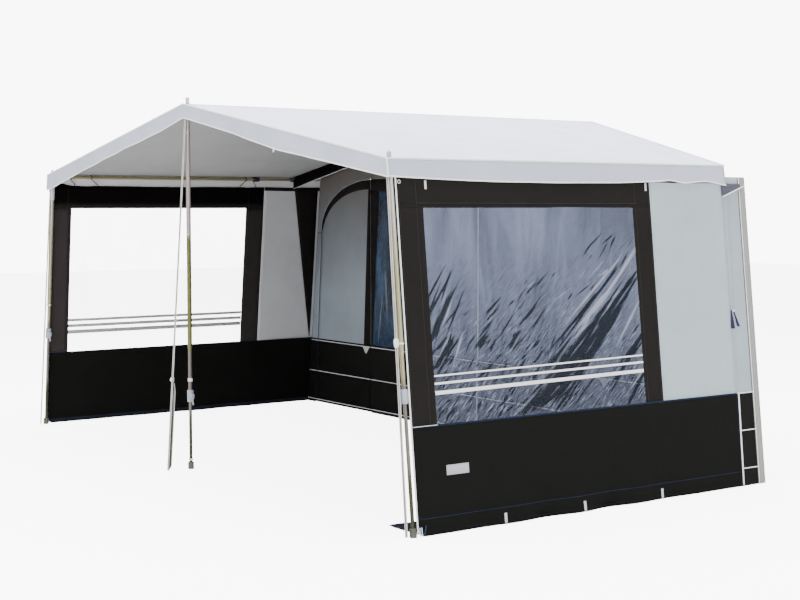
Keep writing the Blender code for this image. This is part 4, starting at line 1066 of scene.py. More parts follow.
def makePennant(name, side):
    # a dark pennant of two tails under a white knot, and the valance's tail turned down over
    # the top of the strip
    outward, strip = outOf(side), f"{name}RearStrip"
    for word, *shape in pennant["tails"]:
        low, wide = shape[2:]
        edges = [partial(pennantEdge, side, *shape, half) for half in (-1, 1)]
        tail = ruled(f"{name}Pennant{word}", *edges, stops(0.5, 0, 1), 0.5, 0.0012)
        high = (pennant["top"] - low) / leanCos
        hang(tail, navyCloth, "webbing", (wide, high), [strip], area=(pennant["tip"] + wide) / 2 * high)
    centre = wallPoint(side, pennant["knotDepth"], pennant["top"] - 0.006, pennant["knotOut"])
    trim(f"{name}PennantKnot", [turned("knot", pennant["knot"], centre, outward, 10)], plainWebbing, "webbing")
    run = stops(0.1, 0, 1)
    tail = ruled(f"{name}ValanceTail", partial(tailTop, side), partial(tailHem, side), run, 0.25, 0.0012)
    hem = trim(f"{name}TailPiping", [cord(tailHem(side, run), tailCut["piping"], outward)], pipingCloth, "webbing")
    hang(
        tail, tailCloth, "valance_cloth", (tailCut["long"], tailCut["deep"]), [strip],
        area=tailCut["long"] * (tailCut["deep"] + tailCut["tip"]) / 2, withPieces=(hem,),
    )


skirtCut = dict(
    wave=0.012, waves=5, foldHeight=0.004, foldLength=0.34, foldSlant=0.9, rumple=0.003, corner=0.045,
    seams=(0.092, 0.572), thread=(0.003, 0.001), tape=(0.005, 0.0030), tabs=(0.61, 1.19, 1.82), tab=(0.018, 0.0018),
    leadEnd=0.19, lead=(0.0036, 0.001), loopRadius=0.0036, strandRadius=0.0022,
    loop=dict(start=0.026, long=0.042, top=0.058, drop=0.050, out=0.0055),
    strands=((0.010, -0.002), (0.022, 0.020), (0.034, 0.036)), strandTop=0.052, strandDrop=0.046, strandOut=0.0125,
)


def skirtPoint(side, depth, height, out=0.0):
    # waves grow towards the ground, and shallow folds slant across them. The front lower
    # corner is rounded
    share = (depth - site["wallFront"]) / (site["wallEnd"] - site["wallFront"])
    down = (site["skirtTop"] - height) / (site["skirtTop"] - site["hem"])
    slanted = depth + skirtCut["foldSlant"] * height
    folds = np.sin(2 * math.pi * slanted / skirtCut["foldLength"] + 3 * crumple(depth, height, 45, 2.5))
    wave = skirtCut["wave"] * down**2 * ripple(share, skirtCut["waves"])
    rumples = skirtCut["rumple"] * crumple(depth, height, 40 + side, 0.5)
    wave = wave + down * swell(share) ** 0.5 * (rumples + skirtCut["foldHeight"] * folds * (1 - down))
    near = np.clip(skirtCut["corner"] - (depth - site["wallFront"]), 0, skirtCut["corner"])
    rise = skirtCut["corner"] - np.sqrt(skirtCut["corner"] ** 2 - near**2)
    point = wallPoint(side, depth, height + rise * down, out)
    point[..., 0] += side * wave
    return point


def makeSkirt(name, side):
    # the skirt, with its sewn hem, dark blue seams and white peg tabs
    outward, place, tape = outOf(side), partial(skirtPoint, side), partial(band, outward=outOf(side))
    front, rear, top = site["wallFront"], site["wallEnd"], site["skirtTop"]
    piece = sheetMesh(
        f"{name}Skirt", stops(0.022, front, front + skirtCut["corner"], rear), stops(0.022, site["hem"], top),
        place, site["cloth"],
    )
    u, v = stops(0.022, front + 0.003, rear - 0.003), stops(0.03, 0.1, 0.57)
    threads = [tape(place(u, height, 0.0012), *skirtCut["thread"]) for height in skirtCut["seams"]]
    threads.append(tape(place(rear - 0.006, v, 0.0012), *skirtCut["thread"]))
    # a narrow tape over the seam between the panel and the skirt
    threads.append(tape(place(u, top + 0.001), *skirtCut["tape"]))
    threads = trim(f"{name}SkirtThread", threads, blueThread, "black_cloth")
    v, lead = stops(0.01, 0.008, 0.062), stops(0.03, front + 0.003, skirtCut["leadEnd"])
    tabs = [tape(place(depth, v, 0.0025), *skirtCut["tab"]) for depth in skirtCut["tabs"]]
    tabs.append(tape(place(lead, top + 0.001, 0.0022), *skirtCut["lead"]))
    tabs = trim(f"{name}PegTabs", tabs, plainWebbing, "webbing")
    loop, share = skirtCut["loop"], stops(0.08, 0, 1)
    hanging = loop["top"] - loop["drop"] * np.sin(math.pi * share)
    path = wallPoint(side, loop["start"] + loop["long"] * share, hanging, loop["out"])
    loop = trim(f"{name}PegLoop", [cord(path, skirtCut["loopRadius"], outward)], blueCord, "webbing")
    strands, share = [], stops(0.15, 0, 1)
    for start, end in skirtCut["strands"]:
        height = skirtCut["strandTop"] - skirtCut["strandDrop"] * share
        path = wallPoint(side, start + (end - start) * share, height, skirtCut["strandOut"])
        strands.append(cord(path, skirtCut["strandRadius"], outward))
    strands = trim(f"{name}PegStrands", strands, pipingCloth, "webbing")
    outer, inner = faces(side, skirtCloth, skirtInside)
    hang(
        piece, outer, "black_cloth", (rear - front, (top - site["hem"]) / leanCos), [f"{name}FrontPost"],
        (f"{name}_skirt",), withPieces=(threads, tabs, loop, strands), back=inner,
    )


edgeCut = dict(
    depth=0.0165, low=0.05, radius=0.0042, hooks=(0.21, 1.85), hookEnds=(1.838, 1.884), hook=(0.014, 0.0016),
    eyelet=(0.036, 1.876), eyeletRadius=0.009, eyeletCord=0.0022,
    strap=(0.012, 0.0018), strapEnds=(1.866, 1.925), strapStart=-0.012, strapLean=0.10,
)


def makeFrontEdge(name, side):
    # the wall's piped front edge, which turns under with the skirt's corner, and small fittings
    wall, outward, bend = partial(wallPoint, side), outOf(side), skirtCut["corner"]
    v, turn = stops(0.03, wallCut["top"] + 0.002, edgeCut["low"]), stops(0.2, 0, 1.25)
    depth = np.concatenate([0 * v, bend * (1 - np.cos(turn[1:]))]) + edgeCut["depth"]
    height = np.concatenate([v, edgeCut["low"] - bend * np.sin(turn[1:])])
    edge = cord(wall(depth, height, 0.0005), edgeCut["radius"], backward)
    trim(f"{name}FrontPiping", [edge], pipingCloth, "webbing")
    v = stops(0.008, *edgeCut["hookEnds"])
    fittings = [band(wall(depth, v, 0.0024), *edgeCut["hook"], outward) for depth in edgeCut["hooks"]]
    (depth, height), radius = edgeCut["eyelet"], edgeCut["eyeletRadius"]
    eyelet = wall(depth + radius * np.cos(ringTurn), height + radius * np.sin(ringTurn), 0.004)
    fittings.append(cord(eyelet, edgeCut["eyeletCord"], outward))
    v = stops(0.008, *edgeCut["strapEnds"])
    slant = wall(edgeCut["strapStart"] + edgeCut["strapLean"] * (v - v[0]), v, 0.002)
    fittings.append(band(slant, *edgeCut["strap"], outward))
    trim(f"{name}WallTabs", fittings, plainWebbing, "webbing")


for name, side in sides:
    for make in (makePanel, makeFilm, makeRearPanel, makeTies, makeStrip, makePennant, makeSkirt, makeFrontEdge):
        make(name, side)

# A bare patch sewn low on the right skirt
patch = dict(depth=0.305, height=0.333, width=0.152, tall=0.054, rim=(0.0025, 0.001), inset=0.003)
patchCloth = clothFinish("patchCloth", (0.50, 0.50, 0.54), 0.7, 1000, soil=0.7)
place, tape = partial(skirtPoint, 1), partial(band, outward=outOf(1))
west, east = patch["depth"] - patch["width"] / 2, patch["depth"] + patch["width"] / 2
low, high = (patch["height"] + way * (patch["tall"] / 2 - patch["inset"]) for way in (-1, 1))
u, v = stops(0.012, west, east), stops(0.01, low, high)
trim("skirtPatch", [tape(place(u, patch["height"], 0.0014), patch["tall"], 0.0012)], patchCloth, "webbing")
rims = [place(u, height, 0.0022) for height in (low, high)]
rims += [place(depth, v, 0.0022) for depth in (west + patch["inset"], east - patch["inset"])]
trim("patchStitches", [tape(rim, *patch["rim"]) for rim in rims], greyThread, "webbing")

# The right skirt's flap lies on the ground inside the wall, and shows beside the front leg
flapCut = dict(front=0.045, rear=2.30, wide=0.32, low=0.004, climb=0.016, bend=0.07, wave=0.003)


def flapPoint(depth, share):
    # it leaves the hem in a short curve and lies flat, with a slight wave along its free edge
    point = wallPoint(1, depth, site["hem"] + 0.004, -0.003)
    rest = flapCut["wave"] * share * (1 + crumple(depth, share, 47, 0.5))
    point[..., 0] -= share * flapCut["wide"]
    point[..., 2] = flapCut["low"] + flapCut["climb"] * np.exp(-share / flapCut["bend"]) + rest
    return point


piece = sheetMesh("rightSkirtFlap", stops(0.05, flapCut["front"], flapCut["rear"]), stops(0.1, 0, 1), flapPoint, 0.001)
size = flapCut["rear"] - flapCut["front"], flapCut["wide"]
hang(piece, skirtInside, "black_cloth", size, ["rightSkirt"], back=skirtInside)
print("side walls made")

# Rear wall: a grey surround at each side, the window's dark frame, its film, and the gable
rearCut = dict(
    hinge=1.55, zipFoot=2.44, zipShoulder=2.33, shoulder=1.53, arch=0.45, straight=0.7, gap=0.003,
    edgeInset=0.0016, underRoof=0.0008,
    windowHalf=(1.53, 1.43), windowTop=1.88, frameTop=1.98, doorHem=0.0066, ease=0.0014,
    cordHeights=(0.56, 0.285, 0.03), cordRadius=0.0032, cordOut=0.0045,
    coverOut=-0.0022, cover=(0.012, 0.0014), hemCover=(0.014, 0.0014),
)
rearY = site["wallDepth"] - site["middleDepth"]
hingeX, shoulder, arch, straight = rearCut["hinge"], rearCut["shoulder"], rearCut["arch"], rearCut["straight"]
zipFoot, zipTop, doorHem = rearCut["zipFoot"], rearCut["zipShoulder"], rearCut["doorHem"]
doorRun = zipTop - hingeX


def rearPoint(x, z, out=0.0):
    # the rear wall is one upright plane, and out steps forwards from it
    return np.stack(np.broadcast_arrays(x, rearY - out, z), -1).astype(float)


def insideEdge(z):
    # the rear wall ends just inside the leaning side walls
    return site["eaveHalf"] + (site["eaveHeight"] - z) * leanTan - rearCut["edgeInset"]


def zipPoint(side, t, grow, out=0.0):
    # the first share of t climbs the straight zip, and the rest runs over the arch
    rise = np.clip(t / straight, 0, 1)
    turn = np.clip((t - straight) / (1 - straight), 0, 1) * math.pi / 2
    x = np.where(t > straight, hingeX + (doorRun + grow) * np.cos(turn), zipFoot + grow + rise * (zipTop - zipFoot))
    z = np.where(t > straight, shoulder + (arch + grow) * np.sin(turn), doorHem + rise * (shoulder - doorHem))
    return rearPoint(side * x, z, out)


def archPoint(side, t, grow, out=0.0, end=1.0):
    # the zip's line over the arch alone, t from 0 to 1
    start = straight + 0.0001
    return zipPoint(side, start + (end - start) * t, grow, out)


def cornerPoint(side, t):
    # from the wall's edge at the door's shoulder up to the eave, then in along the roof
    rise, over = np.clip(t / 0.45, 0, 1), np.clip((t - 0.45) / 0.55, 0, 1)
    z = shoulder + rise * (site["eaveHeight"] - rearCut["underRoof"] - shoulder)
    x = insideEdge(z)
    x = np.where(t > 0.45, x + over * (hingeX - x), x)
    return rearPoint(side * x, np.where(t > 0.45, roofLine(x) - rearCut["underRoof"], z))


def doorEdge(z):
    # how far the zip edge is from the middle at this height
    z = np.asarray(z, float)
    straight = zipFoot + (z - doorHem) / (shoulder - doorHem) * (zipTop - zipFoot)
    up = np.clip((z - shoulder) / arch, 0, 1)
    return np.where(z < shoulder, straight, hingeX + doorRun * np.sqrt(1 - up * up))


def rearCords(name, place, west, east, body="awning"):
    cords = []
    for height in rearCut["cordHeights"]:
        x = stops(0.03, float(west(height)), float(east(height)))
        cords.append(cord(place(x, height), rearCut["cordRadius"], frontward))
    return trim(name, cords, pipingCloth, "webbing", body)


# the flat measures of what the door leaves of the wall, and of the door
footWidth = float(insideEdge(0)) - zipFoot - rearCut["gap"]
shoulderWidth = float(insideEdge(shoulder)) - zipTop - rearCut["gap"]
stripHigh = shoulder - site["hem"]
cornerWide = float(insideEdge(shoulder)) - hingeX
cornerTall = float(roofLine(hingeX)) - shoulder
eaveRise, eaveWide = site["eaveHeight"] - shoulder, site["eaveHalf"] - hingeX
cornerArea = eaveRise * (cornerWide + eaveWide) / 2 + eaveWide * (cornerTall - eaveRise) / 2
cornerArea -= math.pi / 4 * (doorRun + rearCut["gap"]) * (arch + rearCut["gap"])
doorWide, doorHigh = zipFoot - hingeX, rearCut["frameTop"] - doorHem
doorArea = (doorWide + doorRun) / 2 * (shoulder - doorHem) + math.pi / 4 * doorRun * arch
archRun = math.pi * math.sqrt((doorRun**2 + arch**2) / 8)


def makeSurround(name, side):
    # a strip beside the door's zip, and a corner over its arch
    def stripPoint(share, z):
        near = doorEdge(z) + rearCut["gap"]
        return rearPoint(side * (near + share * (insideEdge(z) - near)), z)

    strip = sheetMesh(
        f"{name}RearSideStrip", stops(0.25, 0, 1), stops(0.03, site["hem"], site["skirtTop"], shoulder),
        stripPoint, site["cloth"],
    )
    near, far = faces(side, shadedInsideCloth, wallAndSkirtCloth)
    stretch(
        strip, near, "grey_cloth", (footWidth, stripHigh), [f"rear_{name}_rafter"], ("rear_wall",),
        area=(footWidth + shoulderWidth) / 2 * stripHigh, back=far,
    )
    corner = ruled(
        f"{name}RearCorner", partial(archPoint, side, grow=rearCut["gap"]), partial(cornerPoint, side),
        stops(0.02, 0, 0.45, 1), 0.1, site["cloth"],
    )
    near, far = faces(side, wallCloth, shadedInsideCloth)
    stretch(
        corner, near, "grey_cloth", (cornerWide, cornerTall), [f"rear_{name}_rafter"],
        ("rear_wall",), area=cornerArea, back=far,
    )


doorCut = dict(
    crescent=0.080, crescentFoot=0.002, crescentAt=-0.004, crescentOut=0.0042, crescentEnd=0.9986,
    strip=(0.105, 0.030), stripTop=1.9, stripAt=0.001, stripOut=0.0040,
    zip=(0.007, 0.0018), zipAt=(-0.005, 0.0022), blueSeam=(0.005, 0.001), blueAt=(-0.006, 0.0036),
    archCord=0.0018, archCordAt=(-0.0035, 0.0062), flap=(0.016, 0.0016), hingeFlap=(0.014, 0.0016),
    flapAt=0.004, flapOut=-0.0026, cordStart=0.012, cordEnd=0.006,
)


def makeDoor(name, side):
    # the arched door on its hinge, with its zip, its seams and its dark flaps
    door, tape = f"{name}_door_flap", partial(band, outward=frontward)
    climb = np.sin(np.linspace(0, math.pi / 2, 60))
    heights = np.sort(np.append(doorHem + (doorHigh - 0.0012) * climb, site["skirtTop"]))

    def doorPoint(share, z):
        # flat from the hinge to the zip, with soft folds that fade out at its edges
        x = hingeX + share * (doorEdge(z) - hingeX)
        ease = swell(share) * swell((z - 0.1) / 1.6)
        return rearPoint(side * x, z, rearCut["ease"] * crumple(x, z, 60 + side, 0.8) * ease)

    piece = sheetMesh(f"{name}Door", stops(0.05, 0, 1), heights, doorPoint, site["cloth"])
    # the dark flap along the arch: nothing at the shoulder, widest over the hinge
    wide, foot, edge = doorCut["crescent"], doorCut["crescentFoot"], doorCut["crescentAt"]
    over = partial(archPoint, side, out=doorCut["crescentOut"], end=doorCut["crescentEnd"])
    crescent = ruled(
        f"{name}DoorCrescent", partial(over, grow=edge), lambda t: over(t, edge - foot - wide * t**0.45),
        stops(0.02, 0, 1), 0.25,
    )
    area = archRun * (foot + wide / 1.45)
    stretch(crescent, darkCloth, "dark_cloth", (archRun, wide + foot), [piece], body=door, area=area)
    # the dark strip along the hinge, wider towards its foot
    (footWide, topWide), top = doorCut["strip"], doorCut["stripTop"]

    def hingePoint(share, z):
        width = topWide + (footWide - topWide) * (top - z) / (top - seamTop)
        return rearPoint(side * (hingeX + doorCut["stripAt"] + share * width), z, doorCut["stripOut"])

    hingeStrip = sheetMesh(f"{name}HingeStrip", stops(0.5, 0, 1), stops(0.06, seamTop, top), hingePoint, 0.001)
    stretch(
        hingeStrip, darkCloth, "dark_cloth", (footWide, top - seamTop), [piece], body=door,
        area=(footWide + topWide) / 2 * (top - seamTop),
    )
    t = stops(0.006, 0.002, straight, 0.995)
    teeth = tape(zipPoint(side, t, *doorCut["zipAt"]), *doorCut["zip"])
    teeth = trim(f"{name}DoorZip", [teeth], zipTeeth, "grey_cloth", door)
    t = stops(0.01, 0.02, straight * (site["skirtTop"] - 0.02) / shoulder)
    blue = tape(zipPoint(side, t, *doorCut["blueAt"]), *doorCut["blueSeam"])
    blue = trim(f"{name}DoorBlueSeam", [blue], blueThread, "black_cloth", door)
    edge = cord(zipPoint(side, stops(0.01, straight, 0.9985), *doorCut["archCordAt"]), doorCut["archCord"], frontward)
    edge = trim(f"{name}ArchCord", [edge], greyThread, "grey_cloth", door)
    place = lambda x, z: rearPoint(side * x, z, rearCut["cordOut"])
    cords = rearCords(
        f"{name}DoorCords", place, lambda h: hingeX + doorCut["cordStart"],
        lambda h: doorEdge(h) - doorCut["cordEnd"], door,
    )
    near, far = faces(side, shadedInsideCloth, wallAndSkirtCloth)
    stretch(
        piece, near, "grey_cloth", (doorWide, doorHigh), [f"{name}RearCorner"], (f"{name}_door",),
        body=door, area=doorArea, withPieces=(crescent, hingeStrip, teeth, blue, edge, cords), back=far,
    )
    rearCords(
        f"{name}SurroundCords", place, lambda h: doorEdge(h) + doorCut["cordEnd"], lambda h: insideEdge(h) - 0.004
    )
    # flaps on the wall's outside cover the seams beside the door
    t, z = stops(0.006, 0.002, straight, 0.998), stops(0.05, doorHem, rearCut["frameTop"] - 0.002)
    flaps = [
        tape(zipPoint(side, t, doorCut["flapAt"], doorCut["flapOut"]), *doorCut["flap"]),
        tape(rearPoint(side * (hingeX - doorCut["flapAt"]), z, doorCut["flapOut"]), *doorCut["hingeFlap"]),
    ]
    trim(f"{name}DoorFlaps", flaps, wallAndSkirtCloth, "grey_cloth")


for name, side in sides:
    makeSurround(name, side)
    makeDoor(name, side)

# the window's dark frame is sewn from three strips: one over it and one at each side
hinge = hingeX - site["seamGap"]
windowTop = rearCut["windowTop"]
sideHigh = windowTop - site["seamGap"]
halfMean = sum(rearCut["windowHalf"]) / 2


def windowHalf(z):
    # the window is a little wider at its foot
    low, high = rearCut["windowHalf"]
    return low + (high - low) * (z - seamTop) / (windowTop - seamTop)


tape = partial(band, outward=frontward)
piece = sheetMesh(
    "rearWindowHead", stops(0.05, -hinge, hinge), stops(0.05, windowTop, rearCut["frameTop"]), rearPoint, site["cloth"]
)
x, z, out = stops(0.05, 0.002 - hinge, hinge - 0.002), stops(0.05, seamTop, sideHigh), rearCut["coverOut"]
covers = [tape(rearPoint(x, height, out), *rearCut["cover"]) for height in (windowTop, rearCut["frameTop"])]
covers.append(tape(rearPoint(x, site["skirtTop"], out), *rearCut["hemCover"]))
covers += [tape(rearPoint(side * windowHalf(z), z, out), *rearCut["cover"]) for side in (-1, 1)]
covers = trim("rearFrameSeams", covers, darkCloth, "dark_cloth")
size = (2 * hinge, rearCut["frameTop"] - windowTop)
stretch(piece, darkCloth, "dark_cloth", size, ["rearGable"], ("rear_wall",), withPieces=(covers,))
wide, narrow = (hinge - half for half in reversed(rearCut["windowHalf"]))
for name, side in sides:
    piece = sheetMesh(
        f"{name}WindowPost", stops(0.5, 0, 1), stops(0.05, seamTop, sideHigh),
        lambda share, z, side=side: rearPoint(side * (hinge + share * (windowHalf(z) - hinge)), z), site["cloth"],
    )
    stretch(
        piece, darkCloth, "dark_cloth", (wide, sideHigh - seamTop), ["rearWindowHead"], ("rear_wall",),
        area=(wide + narrow) / 2 * (sideHigh - seamTop),
    )

rearCreases = (
    dict(count=60, depths=(-1.4, 1.4), heights=(0.60, 1.80), angle=84, spread=9,
         length=(0.08, 0.35), width=(0.008, 0.020), sunk=0.5, strength=0.9),
)
rearFilmCut = dict(slack=0.003, height=0.002, seamAt=-0.08, seam=(0.012, 0.0012), seamOut=0.0045, hangOut=0.0140)


def rearFolds(x, z):
    # the rear film's long creases, nearly upright
    return strokes(x, z, 72, rearCreases)


def rearFilmPoint(x, z, out=0.0):
    # slack and long creases that fade towards the edges, as in the side windows
    ease = (swell((x / halfMean + 1) / 2) * swell((z - seamTop) / (windowTop - seamTop))) ** 0.35
    rise = rearFilmCut["slack"] * crumple(x, z, 71, 0.6) + rearFilmCut["height"] * np.clip(rearFolds(x, z), -1, 1)
    return rearPoint(x / halfMean * (windowHalf(z) - site["seamGap"]), z, out + ease * rise)


film = sheetMesh(
    "rearWindowFilm", stops(0.014, -halfMean, halfMean), stops(0.014, seamTop, sideHigh),
    rearFilmPoint, site["film"], crease=rearFolds,
)
# a light seam down the film and on down the skirt
x, high, low = rearFilmCut["seamAt"], stops(0.03, seamTop + 0.003, windowTop - 0.004), stops(0.03, 0.02, seamTop)
lines = rearFilmPoint(x, high, rearFilmCut["seamOut"]), rearPoint(x, low, rearFilmCut["hangOut"])
line = trim("rearWindowLine", [tape(path, *rearFilmCut["seam"]) for path in lines], pipingCloth, "webbing")
stretch(
    film, rearFilm, "window_film", (2 * rearCut["windowHalf"][0], windowTop - seamTop), ["rearWindowHead"],
    ("rear_window",), area=2 * halfMean * (windowTop - seamTop), withPieces=(line,),
)

# the gable reaches up to the roof, with a notch round the ridge pole
notch = dict(half=0.0165, deep=0.0305, edge=0.001)


def gablePoint(x, share):
    # straight from the frame's top to just under the roof line, lower within the notch
    top = roofLine(x) - rearCut["underRoof"] - np.where(np.abs(x) < notch["half"] - notch["edge"] / 2, notch["deep"], 0)
    low = rearCut["frameTop"] + site["seamGap"]
    return rearPoint(x, low + share * (top - low))


half, inner = notch["half"], notch["half"] - notch["edge"]
piece = sheetMesh(
    "rearGable", stops(0.05, -hinge, -half, -inner, inner, half, hinge), stops(0.1, 0, 1), gablePoint, site["cloth"]
)
gableHigh = site["ridgeHeight"] - rearCut["frameTop"]
stretch(
    piece, shadedInsideCloth, "grey_cloth", (2 * hinge, gableHigh), ["rear_left_rafter", "rear_right_rafter"],
    ("rear_wall",), area=hinge * (2 * gableHigh - hinge * roofTan), back=wallCloth,
)

rearSkirtCut = dict(wave=0.009, waves=5, rumple=0.002)


def rearSkirtPoint(x, z, out=0.0):
    # waves grow towards the ground, with a slight rumple
    share = (x + hinge) / (2 * hinge)
    down = (site["skirtTop"] - z) / (site["skirtTop"] - site["hem"])
    wave = rearSkirtCut["wave"] * down**2 * ripple(share, rearSkirtCut["waves"])
    wave = wave + rearSkirtCut["rumple"] * down * crumple(x, z, 81, 0.5) * swell(share)
    return rearPoint(x, z, out - wave)


piece = sheetMesh(
    "rearSkirt", stops(0.03, -hinge, hinge), stops(0.03, site["hem"], site["skirtTop"]), rearSkirtPoint, site["cloth"]
)
place = lambda x, z: rearSkirtPoint(x, z, rearCut["cordOut"])
cords = rearCords("rearSkirtCords", place, lambda h: 0.004 - hinge, lambda h: hinge - 0.004)
hang(
    piece, rearSkirtInside, "black_cloth", (2 * hinge, site["skirtTop"] - site["hem"]), ["rearWindowHead"],
    ("rear_skirt",), withPieces=(cords,), back=skirtCloth,
)

# white triangular tabs under the skirt's top cord, one on the left door and one on the skirt
cornerTab = dict(width=0.10, tall=0.055, tip=0.10, top=0.557, out=0.0088)


def tabPoint(x, u, v):
    # it narrows from its full width to a blunt tip
    reach = cornerTab["width"] / 2 * u * (1 - (1 - cornerTab["tip"]) * v)
    return rearPoint(x + reach, cornerTab["top"] - cornerTab["tall"] * v, cornerTab["out"])


for name, x, body in (("leftDoorTab", -1.616, "left_door_flap"), ("rearSkirtTab", 1.33, "awning")):
    piece = sheetMesh(name, stops(0.25, -1, 1), stops(0.25, 0, 1), partial(tabPoint, x), 0.001)
    hang(
        piece, plainWebbing, "webbing", (cornerTab["width"], cornerTab["tall"]), ["rearSkirt"], body=body,
        area=cornerTab["width"] * cornerTab["tall"] * (1 + cornerTab["tip"]) / 2,
    )
print("rear wall made")

# A dark band sewn under the roof ahead of the rear wall, with a light cord at its lower edge
bandCut = dict(
    depth=2.2, drop=0.081, endDrop=0.100, start=0.0175, reach=2.313, underRoof=0.0016, rumple=0.003, cordRadius=0.0026,
)
bandClip = dict(
    grip=((0.0132, -0.014), (0.0185, -0.012), (0.0185, 0.012), (0.0132, 0.014)),
    arm=(0.020, 0.009), armAhead=0.016, armFrom=(0.010, -0.002), armRun=(0.055, 0.022),
)


def bandPoint(side, x, down):
    # it hangs straight down from the sagging cloth, and is deeper towards the eave
    depth = bandCut["depth"] + bandCut["rumple"] * down * crumple(x, down * 0.1, 91, 0.6)
    along = (bandCut["depth"] + roofCut["lip"]) / (rearEdge(x) + roofCut["lip"])
    height = roofPoint(side * x, along)[..., 2] - bandCut["underRoof"]
    height = height - (bandCut["drop"] + (bandCut["endDrop"] - bandCut["drop"]) * (x / bandCut["reach"]) ** 3) * down
    return np.stack([side * x, depth - site["middleDepth"], height], -1)


def makeTopBand(name, side):
    run, place = stops(0.035, bandCut["start"], bandCut["reach"]), partial(bandPoint, side)
    piece = sheetMesh(f"{name}RearTopBand", run, stops(0.25, 0, 1), place, 0.001)
    edge = cord(place(run, 1), bandCut["cordRadius"], frontward)
    edge = trim(f"{name}TopBandCord", [edge], plainWebbing, "webbing")
    size = ((bandCut["reach"] - bandCut["start"]) / roofCos, bandCut["endDrop"])
    area = size[0] * (0.75 * bandCut["drop"] + 0.25 * bandCut["endDrop"])
    # the band hangs above the fade, so all of it takes darkInside's painted shade colour
    hang(piece, darkInside, "dark_cloth", size, [canopy], area=area, withPieces=(edge,))


def makeBandClip(name, side):
    # the moulded clip that holds the band's end to the eave pole: a grip and a slanting arm
    x, z = site["eavePole"]
    y = bandCut["depth"] - site["middleDepth"]
    grip = turned("grip", bandClip["grip"], (side * x, y, z), backward)
    share = stops(0.25, 0, 1)
    (inStart, riseStart), (inRun, riseRun) = bandClip["armFrom"], bandClip["armRun"]
    inwards, rise = inStart + inRun * share, riseStart + riseRun * share
    arm = np.stack(np.broadcast_arrays(side * (x - inwards), y - bandClip["armAhead"], z + rise), -1)
    trim(f"{name}BandClip", [grip, band(arm, *bandClip["arm"], frontward)], darkNylon, "grey_plastic")


for name, side in sides:
    makeTopBand(name, side)
    makeBandClip(name, side)
print("rear band made")

# Storm straps: flat webbing. Below the buckle the centre strap is doubled round a blue core
strap = dict(
    size=(0.025, 0.002), seat=-0.0163, centreTop=2.345, cornerTop=1.93, cornerEnd=0.0075, reach=0.17,
    cornerReach=0.044, end=0.004, buckle=0.607, doubledTop=0.583, doubledEnd=0.010, doubled=0.020,
    core=0.0038, coreBehind=0.0095, coreEnd=0.36, filler=(0.0135, 0.0012), fillerBehind=0.0098, fillerEnd=0.016,
    overlap=0.004, carried=(0.56, 0.08), knobAhead=0.0042,
    knob=((0.008, 0), (0.0115, 0.002), (0.0115, 0.007), (0.008, 0.010), (0.003, 0.011)),
)


def cornerStrap(side, share):
    # in the legs' plane, down and a little forwards from the eave at 0 to the ground at 1
    depth = strap["seat"] - share * (strap["cornerReach"] + strap["seat"])
    height = strap["cornerTop"] + share * (strap["cornerEnd"] - strap["cornerTop"])
    return wallPoint(side, depth, height, -site["legInset"])


def centreStrap(height, behind=0.0):
    # straight down and forwards from the ridge to the ground
    share = (strap["centreTop"] - height) / (strap["centreTop"] - strap["end"])
    depth = strap["seat"] + share * (-strap["reach"] - strap["seat"]) + behind
    return np.stack(np.broadcast_arrays(0.0, depth - site["middleDepth"], height), -1)


for name, side in sides:
    piece = band(cornerStrap(side, np.linspace(0, 1, 40)), *strap["size"], backward, f"{name}Strap")
    ride(piece, webbing, "webbing", nodes=(f"front_{name}_strap",))
height = np.linspace(strap["centreTop"], strap["end"], 50)
piece = band(centreStrap(height), *strap["size"], backward, "centreStrap")
ride(piece, webbing, "webbing", nodes=("front_centre_strap",))
height = np.linspace(strap["doubledTop"], strap["doubledEnd"], 40)
share = (strap["buckle"] - height) / strap["buckle"]
behind = strap["doubled"] * np.minimum(1, 0.30 + 5 * share) * np.clip((height - 0.006) / 0.03, 0.15, 1)
doubled = band(centreStrap(height, behind), *strap["size"], backward, "strapReturn")
height = np.linspace(strap["doubledTop"], strap["coreEnd"], 14)
core = cord(centreStrap(height, strap["coreBehind"]), strap["core"], backward, "strapCore")
height = np.linspace(strap["coreEnd"] + strap["overlap"], strap["fillerEnd"], 20)
filler = band(centreStrap(height, strap["fillerBehind"]), *strap["filler"], (1, 0, 0), "strapFiller")
carried = [tuple(centreStrap(height)) for height in strap["carried"]]
for piece, finish in ((doubled, webbing), (core, blueCord), (filler, oliveCloth)):
    piece.data.materials.append(finish)
    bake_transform(piece)
knob = turned("knob", strap["knob"], centreStrap(strap["buckle"], -strap["knobAhead"]), frontward)
trim("buckleKnob", [knob], whiteNylon, "grey_plastic", "buckle")
print("straps made")

# Sprung buttons where the tubes lock, collars, and the small things clipped on the legs
legFittings = dict(
    buttons=((0, 0.015, 2.234), (0, 0.015, 1.565), (-1, 0.0125, 0.863)), sunk=0.001, facing=(0.80, -0.60, 0),
    dome=((0.0045, 0.0), (0.0045, 0.0018), (0.0036, 0.0034), (0.0015, 0.0042)),
    clip=dict(left=0.972, right=1.022), clipRing=(0.0152, 0.0172, 0.005), toggleAbove=0.004,
    toggle=((0.007, -0.025), (0.0125, -0.020), (0.0140, -0.008), (0.0140, 0.010), (0.0115, 0.021), (0.006, 0.025)),
)
# each ring's leg, height, inner and outer radius, half height, finish, slot and body
legRings = dict(
    centrePoleCollar=(0, 0.598, 0.0128, 0.0158, 0.011, whiteNylon, "grey_plastic", "awning"),
    centreFootRing=(0, 0.064, 0.0108, 0.0150, 0.006, whiteNylon, "grey_plastic", "front_centre_lower_leg"),
    leftLegSleeve=(-1, 1.8565, 0.0153, 0.0186, 0.051, sideInside, "webbing", "awning"),
)


